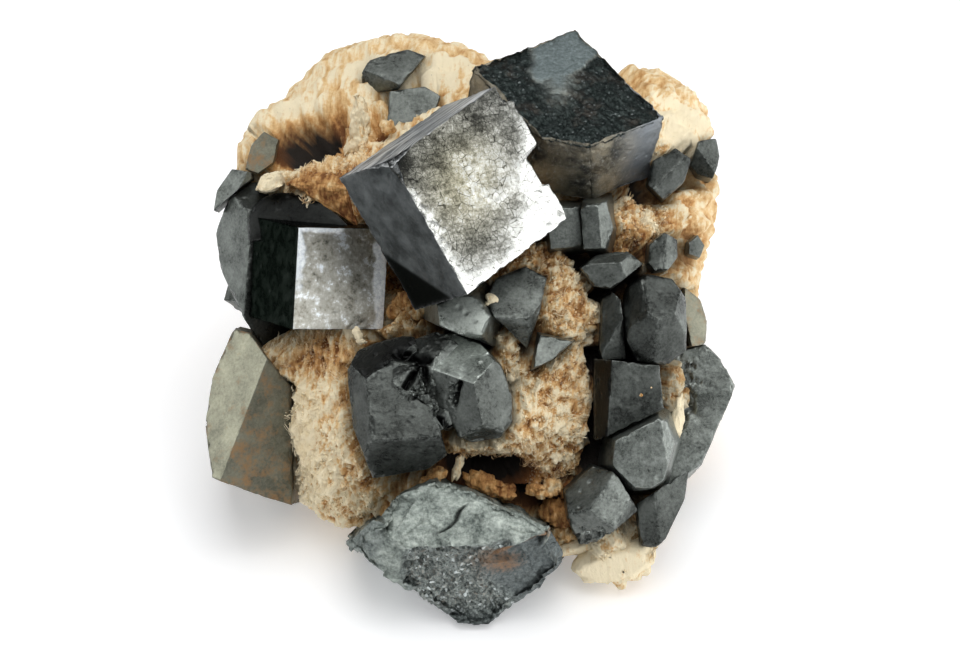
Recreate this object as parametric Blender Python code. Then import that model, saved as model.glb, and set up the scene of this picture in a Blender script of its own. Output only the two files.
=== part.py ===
"""Mineral specimen: black metallic cubic crystals grown on a pale fibrous matrix.

The design is laid out in the display frame, in millimetres: across to the right, up along the
display face, and out towards the viewer, from the middle of that face. An empty holds this frame.
It tilts the display face back, stands the specimen on the floor and centres it, so the world has
+Z up, -Y towards the viewer and its origin on the floor under the middle of the specimen.

A crystal is the space behind its facets, so it is always convex. Where two crystals meet, the one
that is listed later stops at a facet of the earlier one. The matrix stops at all of them.
"""

import math

import bmesh
import bpy
import numpy as np
from mathutils import Euler, Matrix, Vector, noise

MM = 0.001
DISPLAY_TILT = math.radians(38)  # how far the viewer looks down on the display face
GROUND_DROP = 17.2  # from the middle of the display face down to the floor
CONTACT_GAP = 0.3  # between pieces that touch
STOCK = 60  # side of the block that each crystal is cut from

CUBE_EDGE = 10.1  # the largest cube, the dimension that the rest is scaled by
CUBE_DEPTH = 5.9

BLACK = (0.050, 0.053, 0.056, 1)
SLATE = (0.085, 0.095, 0.100, 1)
RUSTY = (0.160, 0.125, 0.095, 1)
TAN = (0.640, 0.450, 0.280, 1)

to_world = Euler((math.radians(90) - DISPLAY_TILT, 0, 0)).to_matrix()
floor_facet = (
    to_world.transposed() @ Vector((0, 0, -GROUND_DROP)),
    to_world.transposed() @ Vector((0, 0, -1)),
)
crystals = {}


def start_scene():
    for thing in list(bpy.data.objects):
        bpy.data.objects.remove(thing)


def metal_or_stone(name, colour, roughness, metallic):
    """A plain Principled material."""
    material = bpy.data.materials.new(name)
    material.use_nodes = True
    shader = material.node_tree.nodes["Principled BSDF"]
    shader.inputs["Base Color"].default_value = colour
    shader.inputs["Roughness"].default_value = roughness
    shader.inputs["Metallic"].default_value = metallic
    return material


# Shapes from facets -------------------------------------------------------------------------


def cut(bm, facet):
    """Removes what lies outside a facet, and closes the cut."""
    point, outward = facet
    everything = bm.verts[:] + bm.edges[:] + bm.faces[:]
    made = bmesh.ops.bisect_plane(
        bm, geom=everything, dist=1e-5, plane_co=point, plane_no=outward, clear_outer=True
    )
    rim = [part for part in made["geom_cut"] if isinstance(part, bmesh.types.BMEdge)]
    if rim:
        bmesh.ops.edgeloop_fill(bm, edges=rim)


def solid_behind(facets, grow=0.0):
    """The convex solid behind all the facets, each moved outwards by grow, as a new bmesh."""
    bm = bmesh.new()
    bmesh.ops.create_cube(bm, size=STOCK, matrix=Matrix.Translation(facets[0][0]))
    for point, outward in facets:
        cut(bm, (point + grow * outward, outward))
    bmesh.ops.recalc_face_normals(bm, faces=bm.faces)
    return bm


def volume_behind(facets):
    bm = solid_behind(facets)
    volume = bm.calc_volume() if len(bm.faces) > 3 else 0.0
    bm.free()
    return volume


def stop_at(facets, neighbour):
    """Adds the one facet that keeps the solid clear of its neighbour and costs it least."""
    if volume_behind(facets + neighbour) < 1e-4:
        return facets
    choices = []
    for point, outward in neighbour:
        choices.append(facets + [(point + CONTACT_GAP * outward, -outward)])
    return max(choices, key=volume_behind)


def slope(across, up, out, falls_right=0.0, falls_up=0.0):
    """A facet through a point of the display face.

    It falls back by these much for each millimetre to the right and upwards.
    """
    return Vector((across, up, out)), Vector((falls_right, falls_up, 1)).normalized()


def sides(outline, out, flare):
    """Facets round an outline given clockwise at this depth; they lean outwards going back."""
    facets = []
    for i, (across, up) in enumerate(outline):
        next_across, next_up = outline[(i + 1) % len(outline)]
        away = Vector((up - next_up, next_across - across, 0)).normalized()
        away.z = math.tan(math.radians(flare))
        facets.append((Vector((across, up, out)), away.normalized()))
    return facets


def finish_crystal(name, facets, material):
    """Makes the crystal's object, clear of the floor and of the crystals before it."""
    facets = facets + [floor_facet]
    for earlier in crystals.values():
        facets = stop_at(facets, earlier)
    crystals[name] = facets
    bm = solid_behind(facets)
    middle = sum((vert.co for vert in bm.verts), Vector()) / len(bm.verts)
    bmesh.ops.translate(bm, vec=-middle, verts=bm.verts)
    bmesh.ops.scale(bm, vec=(MM, MM, MM), verts=bm.verts)
    mesh = bpy.data.meshes.new(name)
    bm.to_mesh(mesh)
    bm.free()
    mesh.materials.append(material)
    crystal = bpy.data.objects.new(name, mesh)
    crystal.location = middle * MM
    crystal.parent = display
    bpy.context.collection.objects.link(crystal)


def cube_crystal(name, face, facing, size, material, extra=()):
    """A cube or tablet, given by the middle of its front face.

    The face leans from the viewer by facing's second angle, towards the direction across the
    display face that the first one gives, after a turn in its own plane by the third.
    """
    azimuth, lean, roll = (math.radians(angle) for angle in facing)
    axis = Vector((-math.sin(azimuth), math.cos(azimuth), 0))
    turn = Matrix.Rotation(lean, 3, axis) @ Matrix.Rotation(roll, 3, "Z")
    width, height, depth = size
    face = Vector(face)
    facets = []
    for direction, distance in (
        ((0, 0, 1), 0),
        ((0, 0, -1), depth),
        ((1, 0, 0), width / 2),
        ((-1, 0, 0), width / 2),
        ((0, 1, 0), height / 2),
        ((0, -1, 0), height / 2),
    ):
        outward = turn @ Vector(direction)
        facets.append((face + distance * outward, outward))
    finish_crystal(name, facets + list(extra), material)


def faceted_crystal(name, outline, front, back, facets, material, flare=1):
    """A crystal seen end on: its outline, the facets of its front, and how far back it is rooted."""
    root = (Vector((*outline[0], back)), Vector((0, 0, -1)))
    body = sides(outline, front, flare) + [root] + list(facets)
    finish_crystal(name, body, material)


# The crystals -------------------------------------------------------------------------------


def cubes():
    """The three large cubes that stand out of the face."""
    cube_crystal(
        "big_cube", (0.1, 9.0, 6.5), (15.6, 37.7, 33.2), (10.4, CUBE_EDGE, CUBE_DEPTH), black
    )
    cube_crystal(
        "dark_cube",
        (5.9, 15.85, -1.0),
        (78.1, 45.3, 32.5),
        (8.8, 10.0, 5.5),
        black,
        [(Vector((6.3, 11.8, 2.0)), Vector((-0.10, -0.80, 0.59)).normalized())],
    )
    cube_crystal("left_cube", (-9.2, 3.3, 1.0), (-14.9, 29.4, -1.8), (6.75, 6.85, 7.0), black)


def centre_group():
    """The crystals on the middle of the face."""
    faceted_crystal(
        "centre_right_crystal",
        [(-3.3, -0.6), (-1.8, -0.4), (0.0, -1.1), (1.3, -2.4), (2.0, -4.3), (2.1, -6.1),
         (1.3, -7.1), (-0.5, -7.4), (-2.4, -6.6), (-3.4, -3.0)],
        3.0, -4.0,
        [slope(-0.4, -3.6, 5.4, -0.2, 0.9), slope(-0.4, -3.6, 5.4, 0.8, 0.0),
         slope(-0.4, -3.6, 5.4, -0.6, -0.3), slope(0.5, -6.4, 4.6, 0.2, -1.6)],
        slate,
    )
    faceted_crystal(
        "centre_left_crystal",
        [(-8.7, -2.8), (-8.0, -1.5), (-6.4, -0.9), (-5.1, -0.6), (-2.6, -0.7), (-1.0, -3.6),
         (-1.0, -7.4), (-3.5, -9.2), (-7.0, -9.8), (-8.3, -6.4)],
        3.0, -4.0,
        [slope(-7.0, -7.3, 4.6, 0.05, 0.15), slope(-7.0, -7.3, 4.6, -1.3, 0.0),
         slope(-7.0, -7.3, 4.6, 0.1, -1.0), slope(-6.6, -2.6, 3.8, -0.5, 0.9)],
        black,
    )
    faceted_crystal(
        "hexagon_crystal",
        [(-2.7, 1.6), (-1.9, 2.0), (-0.3, 1.9), (0.5, 0.8), (0.1, -0.4), (-1.4, -0.4), (-2.6, 0.2)],
        4.0, -3.0, [slope(-1.0, 0.8, 4.0, 0.1, 0.3)], slate, flare=14,
    )
    faceted_crystal(
        "upper_middle_crystal",
        [(0.1, 1.2), (1.2, 3.3), (3.0, 4.0), (4.3, 3.3), (3.9, 1.2), (3.1, -1.0), (1.8, -1.1),
         (0.1, -0.5)],
        2.0, -3.5,
        [slope(2.0, 0.9, 3.2, 0.1, 0.5), slope(2.0, 0.6, 3.2, 0.0, -1.0),
         slope(3.2, 0.6, 3.0, 1.2, -0.5)],
        black,
    )
    faceted_crystal(
        "small_triangle_crystal",
        [(3.6, -2.5), (4.0, -0.5), (5.9, -0.9), (4.8, -1.9)],
        2.6, -1.5, [slope(4.5, -1.4, 2.6, 0.1, 0.2)], slate, flare=3,
    )


def cleft_group():
    """The small crystals in the hollow under the dark cube, and those to the right of it."""
    faceted_crystal(
        "cleft_crystal_left",
        [(4.5, 7.4), (5.2, 8.1), (6.5, 8.0), (6.7, 5.6), (4.8, 5.4)],
        0.4, -5.0, [slope(5.6, 6.5, 0.4, 0.2, -0.2)], slate, flare=8,
    )
    faceted_crystal(
        "cleft_crystal_right",
        [(6.6, 7.6), (7.0, 8.2), (8.3, 8.3), (8.7, 6.7), (8.3, 5.4), (6.8, 5.4)],
        0.9, -5.0,
        [slope(7.5, 6.8, 0.9, -0.2, -0.1), slope(8.2, 6.8, 0.7, 1.0, 0.0)],
        slate, flare=8,
    )
    faceted_crystal(
        "wedge_crystal",
        [(6.8, 4.0), (7.8, 4.8), (9.7, 5.1), (10.7, 4.3), (9.7, 3.5), (8.7, 2.7), (7.6, 2.9)],
        0.4, -4.0,
        [slope(8.6, 4.2, 1.7, -0.1, -0.35), slope(8.6, 4.3, 1.7, -0.2, 1.4),
         slope(9.6, 3.8, 1.5, 0.9, 0.0)],
        slate,
    )
    faceted_crystal(
        "nub_crystal",
        [(11.3, 4.4), (11.4, 5.6), (12.3, 6.3), (13.1, 5.9), (13.1, 4.8), (12.5, 4.0), (11.7, 3.9)],
        -0.6, -5.0,
        [slope(12.3, 5.2, 0.2, -0.4, 0.3), slope(12.4, 5.2, 0.2, 0.9, 0.1)],
        slate,
    )
    faceted_crystal(
        "edge_nub_crystal",
        [(14.2, 5.1), (14.2, 5.8), (14.7, 6.2), (15.1, 5.6), (14.8, 4.9)],
        -3.4, -7.0, [slope(14.5, 5.6, -3.0, 0.5, 0.2)], slate,
    )
    faceted_crystal(
        "rim_crystal_inner",
        [(11.4, 9.7), (11.8, 11.3), (13.2, 12.1), (14.2, 11.4), (13.7, 9.9), (12.4, 8.8)],
        -3.4, -9.0,
        [slope(12.8, 10.6, -2.6, -0.3, 0.4), slope(12.9, 10.4, -2.6, 0.6, -0.5)],
        black,
    )
    faceted_crystal(
        "rim_crystal_outer",
        [(14.3, 12.6), (16.1, 12.9), (16.3, 11.5), (15.8, 10.3), (15.0, 10.5), (14.3, 11.4)],
        -5.5, -11.0,
        [slope(15.3, 11.8, -4.8, 0.5, 0.3), slope(15.0, 11.6, -4.9, -0.5, -0.4)],
        black,
    )


def right_group():
    """The column of crystals down the right-hand side."""
    faceted_crystal(
        "right_top_crystal",
        [(9.6, 1.2), (10.0, 2.7), (11.2, 3.5), (12.7, 3.2), (13.6, 1.9), (13.6, -1.4), (12.4, -2.3),
         (10.5, -2.1), (9.8, -0.8)],
        1.2, -6.0,
        [slope(11.7, 0.7, 3.0, 0.1, 0.7), slope(11.2, 0.9, 3.0, -1.1, 0.5),
         slope(11.5, 0.5, 3.0, -0.5, -0.4), slope(11.9, 0.6, 3.0, 0.6, -0.5),
         slope(13.0, 1.0, 2.3, 1.8, 0.2)],
        black,
    )
    faceted_crystal(
        "right_left_crystal",
        [(8.0, -1.4), (8.2, 1.9), (8.8, 2.3), (9.7, 1.5), (10.5, -1.9), (8.2, -2.0)],
        0.0, -5.0,
        [slope(9.2, 0.4, 1.6, -0.7, 0.3), slope(9.3, 0.2, 1.6, 0.5, -0.4)],
        slate,
    )
    faceted_crystal(
        "right_hexagon_crystal",
        [(8.6, -9.0), (8.8, -7.3), (11.8, -5.8), (12.3, -6.1), (12.8, -7.6), (12.1, -10.0),
         (11.3, -10.5), (10.2, -10.5)],
        2.6, -5.0,
        [slope(10.5, -8.0, 3.0, 0.15, -0.1), slope(12.3, -7.8, 2.7, 1.4, 0.1)],
        slate, flare=7,
    )
    faceted_crystal(
        "right_long_crystal",
        [(7.7, -8.7), (7.7, -2.1), (11.7, -1.7), (12.1, -5.6), (11.9, -8.0), (8.5, -9.0)],
        1.0, -5.0,
        [slope(10.0, -4.6, 2.0, 0.1, -0.1), slope(8.5, -4.7, 2.0, -1.5, 0.0)],
        black,
    )
    faceted_crystal(
        "right_lower_crystal",
        [(10.3, -10.6), (12.0, -9.6), (13.9, -9.2), (13.6, -11.4), (12.3, -14.1), (11.6, -14.6),
         (10.9, -14.5)],
        -1.0, -7.0,
        [slope(12.0, -11.4, 0.2, 0.5, -0.2), slope(11.5, -11.6, 0.2, -0.5, -0.3)],
        black,
    )
    faceted_crystal(
        "far_right_crystal",
        [(12.4, -2.0), (15.4, -1.2), (16.4, -2.2), (17.4, -3.9), (15.1, -9.3), (12.7, -14.7),
         (11.8, -14.4), (11.2, -8.0)],
        -4.0, -12.0,
        [slope(14.4, -5.0, -3.0, 0.5, 0.1), slope(13.4, -8.0, -2.6, 0.3, -0.2),
         slope(15.8, -3.4, -3.8, 1.2, 0.4)],
        black,
    )
    faceted_crystal(
        "right_edge_crystal",
        [(13.9, 1.3), (14.0, 2.6), (14.9, 1.9), (15.4, 0.4), (15.2, -1.1), (14.4, -1.1)],
        -4.4, -9.0, [slope(14.6, 0.8, -3.8, 0.6, 0.2)], rusty,
    )


def lower_group():
    """The crystals along the lower edge."""
    faceted_crystal(
        "small_low_crystal",
        [(5.7, -10.8), (7.5, -9.2), (8.9, -9.5), (10.4, -12.1), (8.9, -13.3), (7.7, -14.3),
         (6.7, -14.3), (5.9, -12.6)],
        0.0, -5.0,
        [slope(8.7, -11.2, 2.4, 0.4, -0.15), slope(7.3, -11.4, 2.6, -0.7, 0.6),
         slope(7.6, -12.3, 2.6, -0.3, -1.1), slope(9.6, -11.8, 2.0, 1.3, -0.7)],
        slate,
    )
    faceted_crystal(
        "bottom_crystal",
        [(-9.1, -13.4), (-7.6, -11.7), (-5.5, -10.9), (-4.0, -9.4), (-1.4, -10.2), (1.6, -11.5),
         (4.6, -12.9), (6.0, -15.4), (5.9, -16.3), (3.7, -18.4), (0.9, -20.2), (-0.3, -20.6),
         (-1.5, -20.4), (-5.6, -17.4), (-9.0, -14.3)],
        1.0, -8.0,
        [slope(-2.0, -14.0, 4.5, 0.02, 0.35), slope(-2.0, -14.2, 4.5, 0.05, -1.0),
         slope(2.6, -15.6, 3.2, 0.55, -0.75), slope(-6.6, -14.4, 3.6, -0.7, -0.6)],
        slate,
    )
    faceted_crystal(
        "left_lower_crystal",
        [(-18.6, -6.6), (-18.1, -3.2), (-16.7, -0.1), (-15.6, -0.4), (-12.8, -4.0),
         (-12.9, -11.9), (-15.3, -11.1), (-18.0, -10.0)],
        -4.4, -12.0,
        [slope(-15.9, -6.2, -1.8, 0.5, -0.2), slope(-15.9, -6.2, -1.8, -0.8, 0.3)],
        rusty,
    )


def left_group():
    """The crystals behind the left cube."""
    faceted_crystal(
        "left_rim_crystal",
        [(-18.0, 6.6), (-17.2, 8.6), (-15.6, 9.9), (-12.6, 9.9), (-10.2, 8.6), (-9.0, 6.8),
         (-9.4, 1.9), (-12.2, -1.1), (-14.8, -1.3), (-16.3, 1.3), (-17.7, 4.2)],
        -5.0, -12.0,
        [slope(-14.0, 6.0, -3.6, 0.0, 0.1), slope(-15.8, 4.0, -3.8, -1.1, 0.0),
         slope(-12.6, 7.7, -3.8, 0.1, 1.1)],
        slate,
    )
    faceted_crystal(
        "left_edge_crystal",
        [(-18.2, 7.4), (-17.9, 9.4), (-16.9, 10.8), (-15.7, 10.6), (-15.5, 9.4), (-16.9, 7.6)],
        -5.5, -11.0,
        [slope(-16.7, 9.2, -4.6, -0.6, 0.3), slope(-16.5, 9.0, -4.6, 0.4, -0.2)],
        slate,
    )
    faceted_crystal(
        "left_wedge_crystal",
        [(-16.0, 11.0), (-15.6, 12.6), (-14.8, 13.4), (-13.9, 12.9), (-14.2, 11.4), (-15.2, 10.7)],
        -6.6, -11.0, [slope(-15.0, 12.0, -5.9, -0.4, 0.3)], rusty,
    )


def top_group():
    """The two crystals on the upper left lobe."""
    faceted_crystal(
        "top_crystal_front",
        [(-6.3, 14.0), (-6.1, 16.2), (-3.8, 16.5), (-2.8, 15.9), (-3.4, 14.2), (-5.4, 13.6)],
        -6.6, -12.0, [slope(-4.6, 15.1, -6.0, 0.0, 0.1)], slate,
    )
    faceted_crystal(
        "top_crystal_back",
        [(-8.1, 17.5), (-7.6, 18.4), (-6.3, 18.9), (-5.0, 19.2), (-3.6, 18.7), (-4.2, 17.7),
         (-5.6, 16.6), (-6.8, 15.0), (-7.8, 15.5)],
        -7.6, -13.0,
        [slope(-6.2, 17.4, -6.8, 0.0, 0.7), slope(-6.6, 17.0, -6.8, -0.5, -0.5)],
        slate,
    )


def hidden_group():
    """Smaller cubes on the back and the shoulders, half sunk in the matrix."""
    cube_crystal("back_crystal_upper", (-5.5, 8.0, -21.0), (150, 165, 20), (5.4, 5.4, 5.0), black)
    cube_crystal("back_crystal_middle", (4.5, 2.0, -22.4), (-60, 160, 50), (6.6, 6.2, 6.0), black)
    cube_crystal("back_crystal_lower", (-6.5, -4.0, -23.4), (200, 168, 75), (4.6, 4.6, 4.0), slate)
    cube_crystal("back_crystal_right", (13.2, 7.0, -17.0), (15, 128, 30), (4.8, 4.4, 4.0), slate)
    cube_crystal("back_crystal_left", (-16.4, 3.5, -16.5), (175, 120, 15), (4.6, 5.0, 4.0), slate)


# The matrix ---------------------------------------------------------------------------------

MATRIX_MIDDLE = Vector((0, -1, -9))
MATRIX_LOBES = (  # middle, then half sizes across, up and out
    ((0, -1, -9), (13.6, 12.0, 9.2)),
    ((0.6, -4, -6), (10.6, 9.6, 7.2)),
    ((-5.2, 13.4, -12), (8.2, 7.3, 5.6)),
    ((-10.3, 11.0, -11), (4.3, 4.4, 4.4)),
    ((-14.2, 11.2, -9.5), (2.4, 2.9, 3.0)),
    ((11.4, 12.4, -11), (5.0, 5.6, 5.6)),
    ((10.4, 8.0, -10), (5.0, 5.4, 5.4)),
    ((-10.4, 9.6, -5.2), (2.6, 1.5, 2.2)),  # the brown ridge over the left cube
    ((2, 8, -9), (9.0, 8.0, 8.0)),
    ((-1.6, 8.6, -4.5), (5.4, 4.6, 6.6)),  # the knuckle that carries the big cube
    ((-8.6, -6.2, -6.6), (4.6, 7.0, 6.2)),
    ((10.6, -4, -9.6), (4.6, 9.6, 6.2)),
    ((0, -5, -15), (12.0, 9.0, 9.4)),
    ((0, 6, -15), (11.0, 9.0, 7.4)),
    ((9.0, -14.6, -4.0), (2.2, 2.6, 2.4)),
)
MATRIX_HOLLOWS = (
    ((-11.4, 12.2, -5.5), (2.6, 1.8, 2.8)),  # the brown hollow at the upper left
    ((0.7, -9.2, 1.6), (2.2, 1.2, 4.0)),  # the black hole over the bottom crystal
    ((-4.6, 3.0, 0.5), (2.6, 2.6, 4.2)),  # under the lower corner of the big cube
    ((-8.6, 3.2, 0.0), (4.6, 3.4, 3.8)),  # round the left cube
    ((4.9, -11.0, 1.0), (1.0, 0.8, 2.2)),
)
LOBE_BLEND = 1.2  # how softly one lobe runs into the next, in millimetres
ROUGHNESS_SIZE = 3.5
ROUGHNESS_HEIGHT = 0.5
MATRIX_DETAIL = 5  # subdivisions of the icosphere, plus one


def distance_outside(points, lobes):
    """Roughly how far each point is outside each lobe."""
    middles = np.array([lobe[0] for lobe in lobes], float)
    halves = np.array([lobe[1] for lobe in lobes], float)
    stretched = (points[..., None, :] - middles) / halves
    return (np.linalg.norm(stretched, axis=-1) - 1) * halves.min(axis=1)


def matrix_reach(directions):
    """How far the matrix reaches from its middle, in each direction."""
    steps = np.linspace(30, 0, 301)
    points = np.array(MATRIX_MIDDLE) + directions[:, None, :] * steps[None, :, None]
    lobes = distance_outside(points, MATRIX_LOBES)
    outside = -LOBE_BLEND * np.log(np.exp(-lobes / LOBE_BLEND).sum(axis=-1))
    hollows = distance_outside(points, MATRIX_HOLLOWS).min(axis=-1)
    outside = np.maximum(outside, -hollows)
    return steps[(outside < 0).argmax(axis=1)]


def clearance_tools():
    """Every crystal grown by the contact gap, as cutters for the matrix."""
    tools = bpy.data.collections.new("clearance")
    bpy.context.scene.collection.children.link(tools)
    for name, facets in crystals.items():
        bm = solid_behind(facets, CONTACT_GAP)
        bmesh.ops.scale(bm, vec=(MM, MM, MM), verts=bm.verts)
        mesh = bpy.data.meshes.new(name + "_clearance")
        bm.to_mesh(mesh)
        bm.free()
        tool = bpy.data.objects.new(name + "_clearance", mesh)
        tool.parent = display
        tool.hide_render = True
        tool.display_type = "WIRE"
        tools.objects.link(tool)
    return tools


def keep_largest_piece(mesh):
    """Drops the crumbs that the cutters leave between two crystals."""
    bm = bmesh.new()
    bm.from_mesh(mesh)
    pieces = []
    left = set(bm.verts)
    while left:
        piece = set()
        reached = [left.pop()]
        while reached:
            vert = reached.pop()
            piece.add(vert)
            for edge in vert.link_edges:
                other = edge.other_vert(vert)
                if other in left:
                    left.remove(other)
                    reached.append(other)
        pieces.append(piece)
    pieces.sort(key=len)
    for piece in pieces[:-1]:
        bmesh.ops.delete(bm, geom=list(piece), context="VERTS")
    bm.to_mesh(mesh)
    bm.free()


def matrix_rock():
    """The pale rock that everything grows from: lobes run together, roughened, flat underneath."""
    bm = bmesh.new()
    bmesh.ops.create_icosphere(bm, subdivisions=MATRIX_DETAIL, radius=1)
    directions = np.array([vert.co.normalized() for vert in bm.verts])
    for vert, direction, reach in zip(bm.verts, directions, matrix_reach(directions)):
        grain = noise.noise((Vector(direction) * reach) / ROUGHNESS_SIZE)
        vert.co = MATRIX_MIDDLE + Vector(direction) * (reach + ROUGHNESS_HEIGHT * grain)
    cut(bm, floor_facet)
    bmesh.ops.triangulate(bm, faces=bm.faces)
    bmesh.ops.scale(bm, vec=(MM, MM, MM), verts=bm.verts)
    mesh = bpy.data.meshes.new("matrix")
    bm.to_mesh(mesh)
    bm.free()
    rock = bpy.data.objects.new("matrix", mesh)
    rock.parent = display
    bpy.context.collection.objects.link(rock)

    sockets = rock.modifiers.new("crystal sockets", "BOOLEAN")
    sockets.operation = "DIFFERENCE"
    sockets.solver = "EXACT"
    sockets.operand_type = "COLLECTION"
    sockets.collection = clearance_tools()
    bpy.context.view_layer.update()
    shaped = bpy.data.meshes.new_from_object(
        rock.evaluated_get(bpy.context.evaluated_depsgraph_get())
    )
    rock.modifiers.remove(sockets)
    rock.data = shaped
    keep_largest_piece(shaped)
    shaped.materials.clear()
    shaped.materials.append(metal_or_stone("fibrous_matrix", TAN, 0.9, 0.0))


def centre_on_floor():
    """Puts the world's origin on the floor, under the middle of the specimen's box."""
    bpy.context.view_layer.update()
    corners = []
    for piece in display.children:
        if piece.hide_render:
            continue
        for vert in piece.data.vertices:
            corners.append(piece.matrix_world @ vert.co)
    low = [min(corner[axis] for corner in corners) for axis in range(3)]
    high = [max(corner[axis] for corner in corners) for axis in range(3)]
    display.location -= Vector(((low[0] + high[0]) / 2, (low[1] + high[1]) / 2, low[2]))


start_scene()
display = bpy.data.objects.new("display_face", None)
display.rotation_euler = to_world.to_euler()
display.location = (0, 0, GROUND_DROP * MM)
bpy.context.collection.objects.link(display)

black = metal_or_stone("black_crystal", BLACK, 0.25, 0.8)
slate = metal_or_stone("slate_crystal", SLATE, 0.45, 0.6)
rusty = metal_or_stone("rusty_crystal", RUSTY, 0.6, 0.3)

cubes()
centre_group()
cleft_group()
right_group()
lower_group()
left_group()
top_group()
hidden_group()
matrix_rock()
centre_on_floor()
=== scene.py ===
"""Mineral specimen: black metallic cubic crystals grown on a pale fibrous matrix.

The looks of the specimen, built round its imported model. Every crystal is rebuilt from the facets
of its own node, with worn edges, growth marks, pits and broken ground worked into the mesh. The
matrix is rebuilt from the reach of its node in every direction, then roughened, grooved and dressed
with needles, grains, lumps and plates. Two plates of crystal fill places between the crystals.
Places on the display face are given across, up and out, in millimetres.
"""

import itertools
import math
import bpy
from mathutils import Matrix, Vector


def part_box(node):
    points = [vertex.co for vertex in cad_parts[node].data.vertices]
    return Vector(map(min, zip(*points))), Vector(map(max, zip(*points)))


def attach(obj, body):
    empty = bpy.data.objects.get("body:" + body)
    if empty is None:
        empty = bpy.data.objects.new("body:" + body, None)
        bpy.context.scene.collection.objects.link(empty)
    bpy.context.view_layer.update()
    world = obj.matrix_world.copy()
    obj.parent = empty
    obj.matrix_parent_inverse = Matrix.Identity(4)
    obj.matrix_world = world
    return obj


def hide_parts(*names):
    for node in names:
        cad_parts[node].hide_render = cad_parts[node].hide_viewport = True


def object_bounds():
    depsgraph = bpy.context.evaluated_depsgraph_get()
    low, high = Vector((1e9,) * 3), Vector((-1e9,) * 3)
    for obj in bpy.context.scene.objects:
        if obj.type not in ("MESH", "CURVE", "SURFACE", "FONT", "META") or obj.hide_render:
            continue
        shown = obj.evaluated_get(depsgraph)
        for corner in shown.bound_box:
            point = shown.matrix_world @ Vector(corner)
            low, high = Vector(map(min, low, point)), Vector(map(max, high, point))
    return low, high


bl_info = {
    "name": "Mineral Specimen",
    "version": (1, 0, 0),
    "blender": (4, 5, 0),
    "location": "View3D > Sidebar > Specimen",
    "description": "Builds the finished crystals, matrix and stage of a mineral specimen",
    "category": "Add Mesh",
}

import bpy
import numpy as np
from mathutils import Vector

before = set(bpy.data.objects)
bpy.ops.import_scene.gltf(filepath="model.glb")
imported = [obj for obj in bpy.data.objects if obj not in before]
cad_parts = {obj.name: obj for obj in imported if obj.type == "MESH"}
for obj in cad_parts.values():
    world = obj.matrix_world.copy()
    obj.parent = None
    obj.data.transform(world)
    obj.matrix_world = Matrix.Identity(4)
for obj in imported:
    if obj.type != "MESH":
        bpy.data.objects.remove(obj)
cad_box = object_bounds()

MM = 0.001
BODY = "root"

# The display face -----------------------------------------------------------------------------

DISPLAY_TILT = math.radians(38)
ACROSS = np.array([1.0, 0.0, 0.0])
UP = np.array([0.0, math.sin(DISPLAY_TILT), math.cos(DISPLAY_TILT)])
OUT = np.array([0.0, -math.cos(DISPLAY_TILT), math.sin(DISPLAY_TILT)])
DISPLAY_AXES = np.array([ACROSS, UP, OUT])
BIG_CUBE_PLACE = np.array([-1.64, 8.51, 4.17])  # its middle, on the display face

big_cube_low, big_cube_high = (np.array(corner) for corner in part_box("big_cube"))
display_middle = (big_cube_low + big_cube_high) / 2 - BIG_CUBE_PLACE @ DISPLAY_AXES * MM


def from_display(places):
    """World points, in metres, of places on the display face, in millimetres."""
    return np.asarray(places, float) @ DISPLAY_AXES * MM + display_middle


def on_display(points):
    """Places on the display face, in millimetres, of world points."""
    return (points - display_middle) @ DISPLAY_AXES.T / MM


# Noise ----------------------------------------------------------------------------------------


def scrambled(cells, seed):
    """A number from 0 to 1 for each whole-numbered cell: its coordinates and the seed hashed."""
    x, y, z = (cells[..., axis].astype(np.int64).astype(np.uint32) for axis in range(3))
    mixed = x * np.uint32(0x8DA6B343) ^ y * np.uint32(0xD8163841) ^ z * np.uint32(0xCB1AB31F)
    mixed = mixed ^ np.uint32((seed * 0x9E3779B1) & 0xFFFFFFFF)
    mixed = (mixed ^ (mixed >> np.uint32(15))) * np.uint32(0x2C1B3C6D)
    mixed = (mixed ^ (mixed >> np.uint32(12))) * np.uint32(0x297A2D39)
    return (mixed ^ (mixed >> np.uint32(15))) / 2.0**32


def noise(points, seed):
    """Smooth noise from -1 to 1: the eight corners of each unit cell hold random numbers, which
    blend by the quintic fade 6t^5 - 15t^4 + 10t^3 on each axis."""
    cells = np.floor(points)
    part = points - cells
    fade = part**3 * (part * (part * 6 - 15) + 10)
    total = np.zeros(points.shape[:-1])
    for corner in itertools.product((0, 1), repeat=3):
        weight = np.where(np.array(corner) == 1, fade, 1 - fade).prod(axis=-1)
        total += weight * scrambled(cells + np.array(corner), seed)
    return total * 2 - 1


def layers(points, count, seed):
    """Noise summed over octaves: each has twice the frequency of the last and half its height."""
    total = np.zeros(points.shape[:-1])
    height = 1.0
    for octave in range(count):
        total += height * noise(points * 2**octave + 17.3 * octave, seed + octave)
        height /= 2
    return total / 1.6


def nearest_cells(points, seed):
    """(nearest, cell, offset): the distance to the nearest of one random point per unit cell, that
    point's cell, and the way from it."""
    cells = np.floor(points)
    nearest = np.full(points.shape[:-1], np.inf)
    home = cells.copy()
    offset = np.zeros_like(points)
    for step in itertools.product((-1, 0, 1), repeat=3):
        cell = cells + np.array(step)
        way = points - cell - np.stack([scrambled(cell, seed + i) for i in range(3)], axis=-1)
        distance = np.linalg.norm(way, axis=-1)
        closer = distance < nearest
        nearest = np.where(closer, distance, nearest)
        home = np.where(closer[..., None], cell, home)
        offset = np.where(closer[..., None], way, offset)
    return nearest, home, offset


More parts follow.
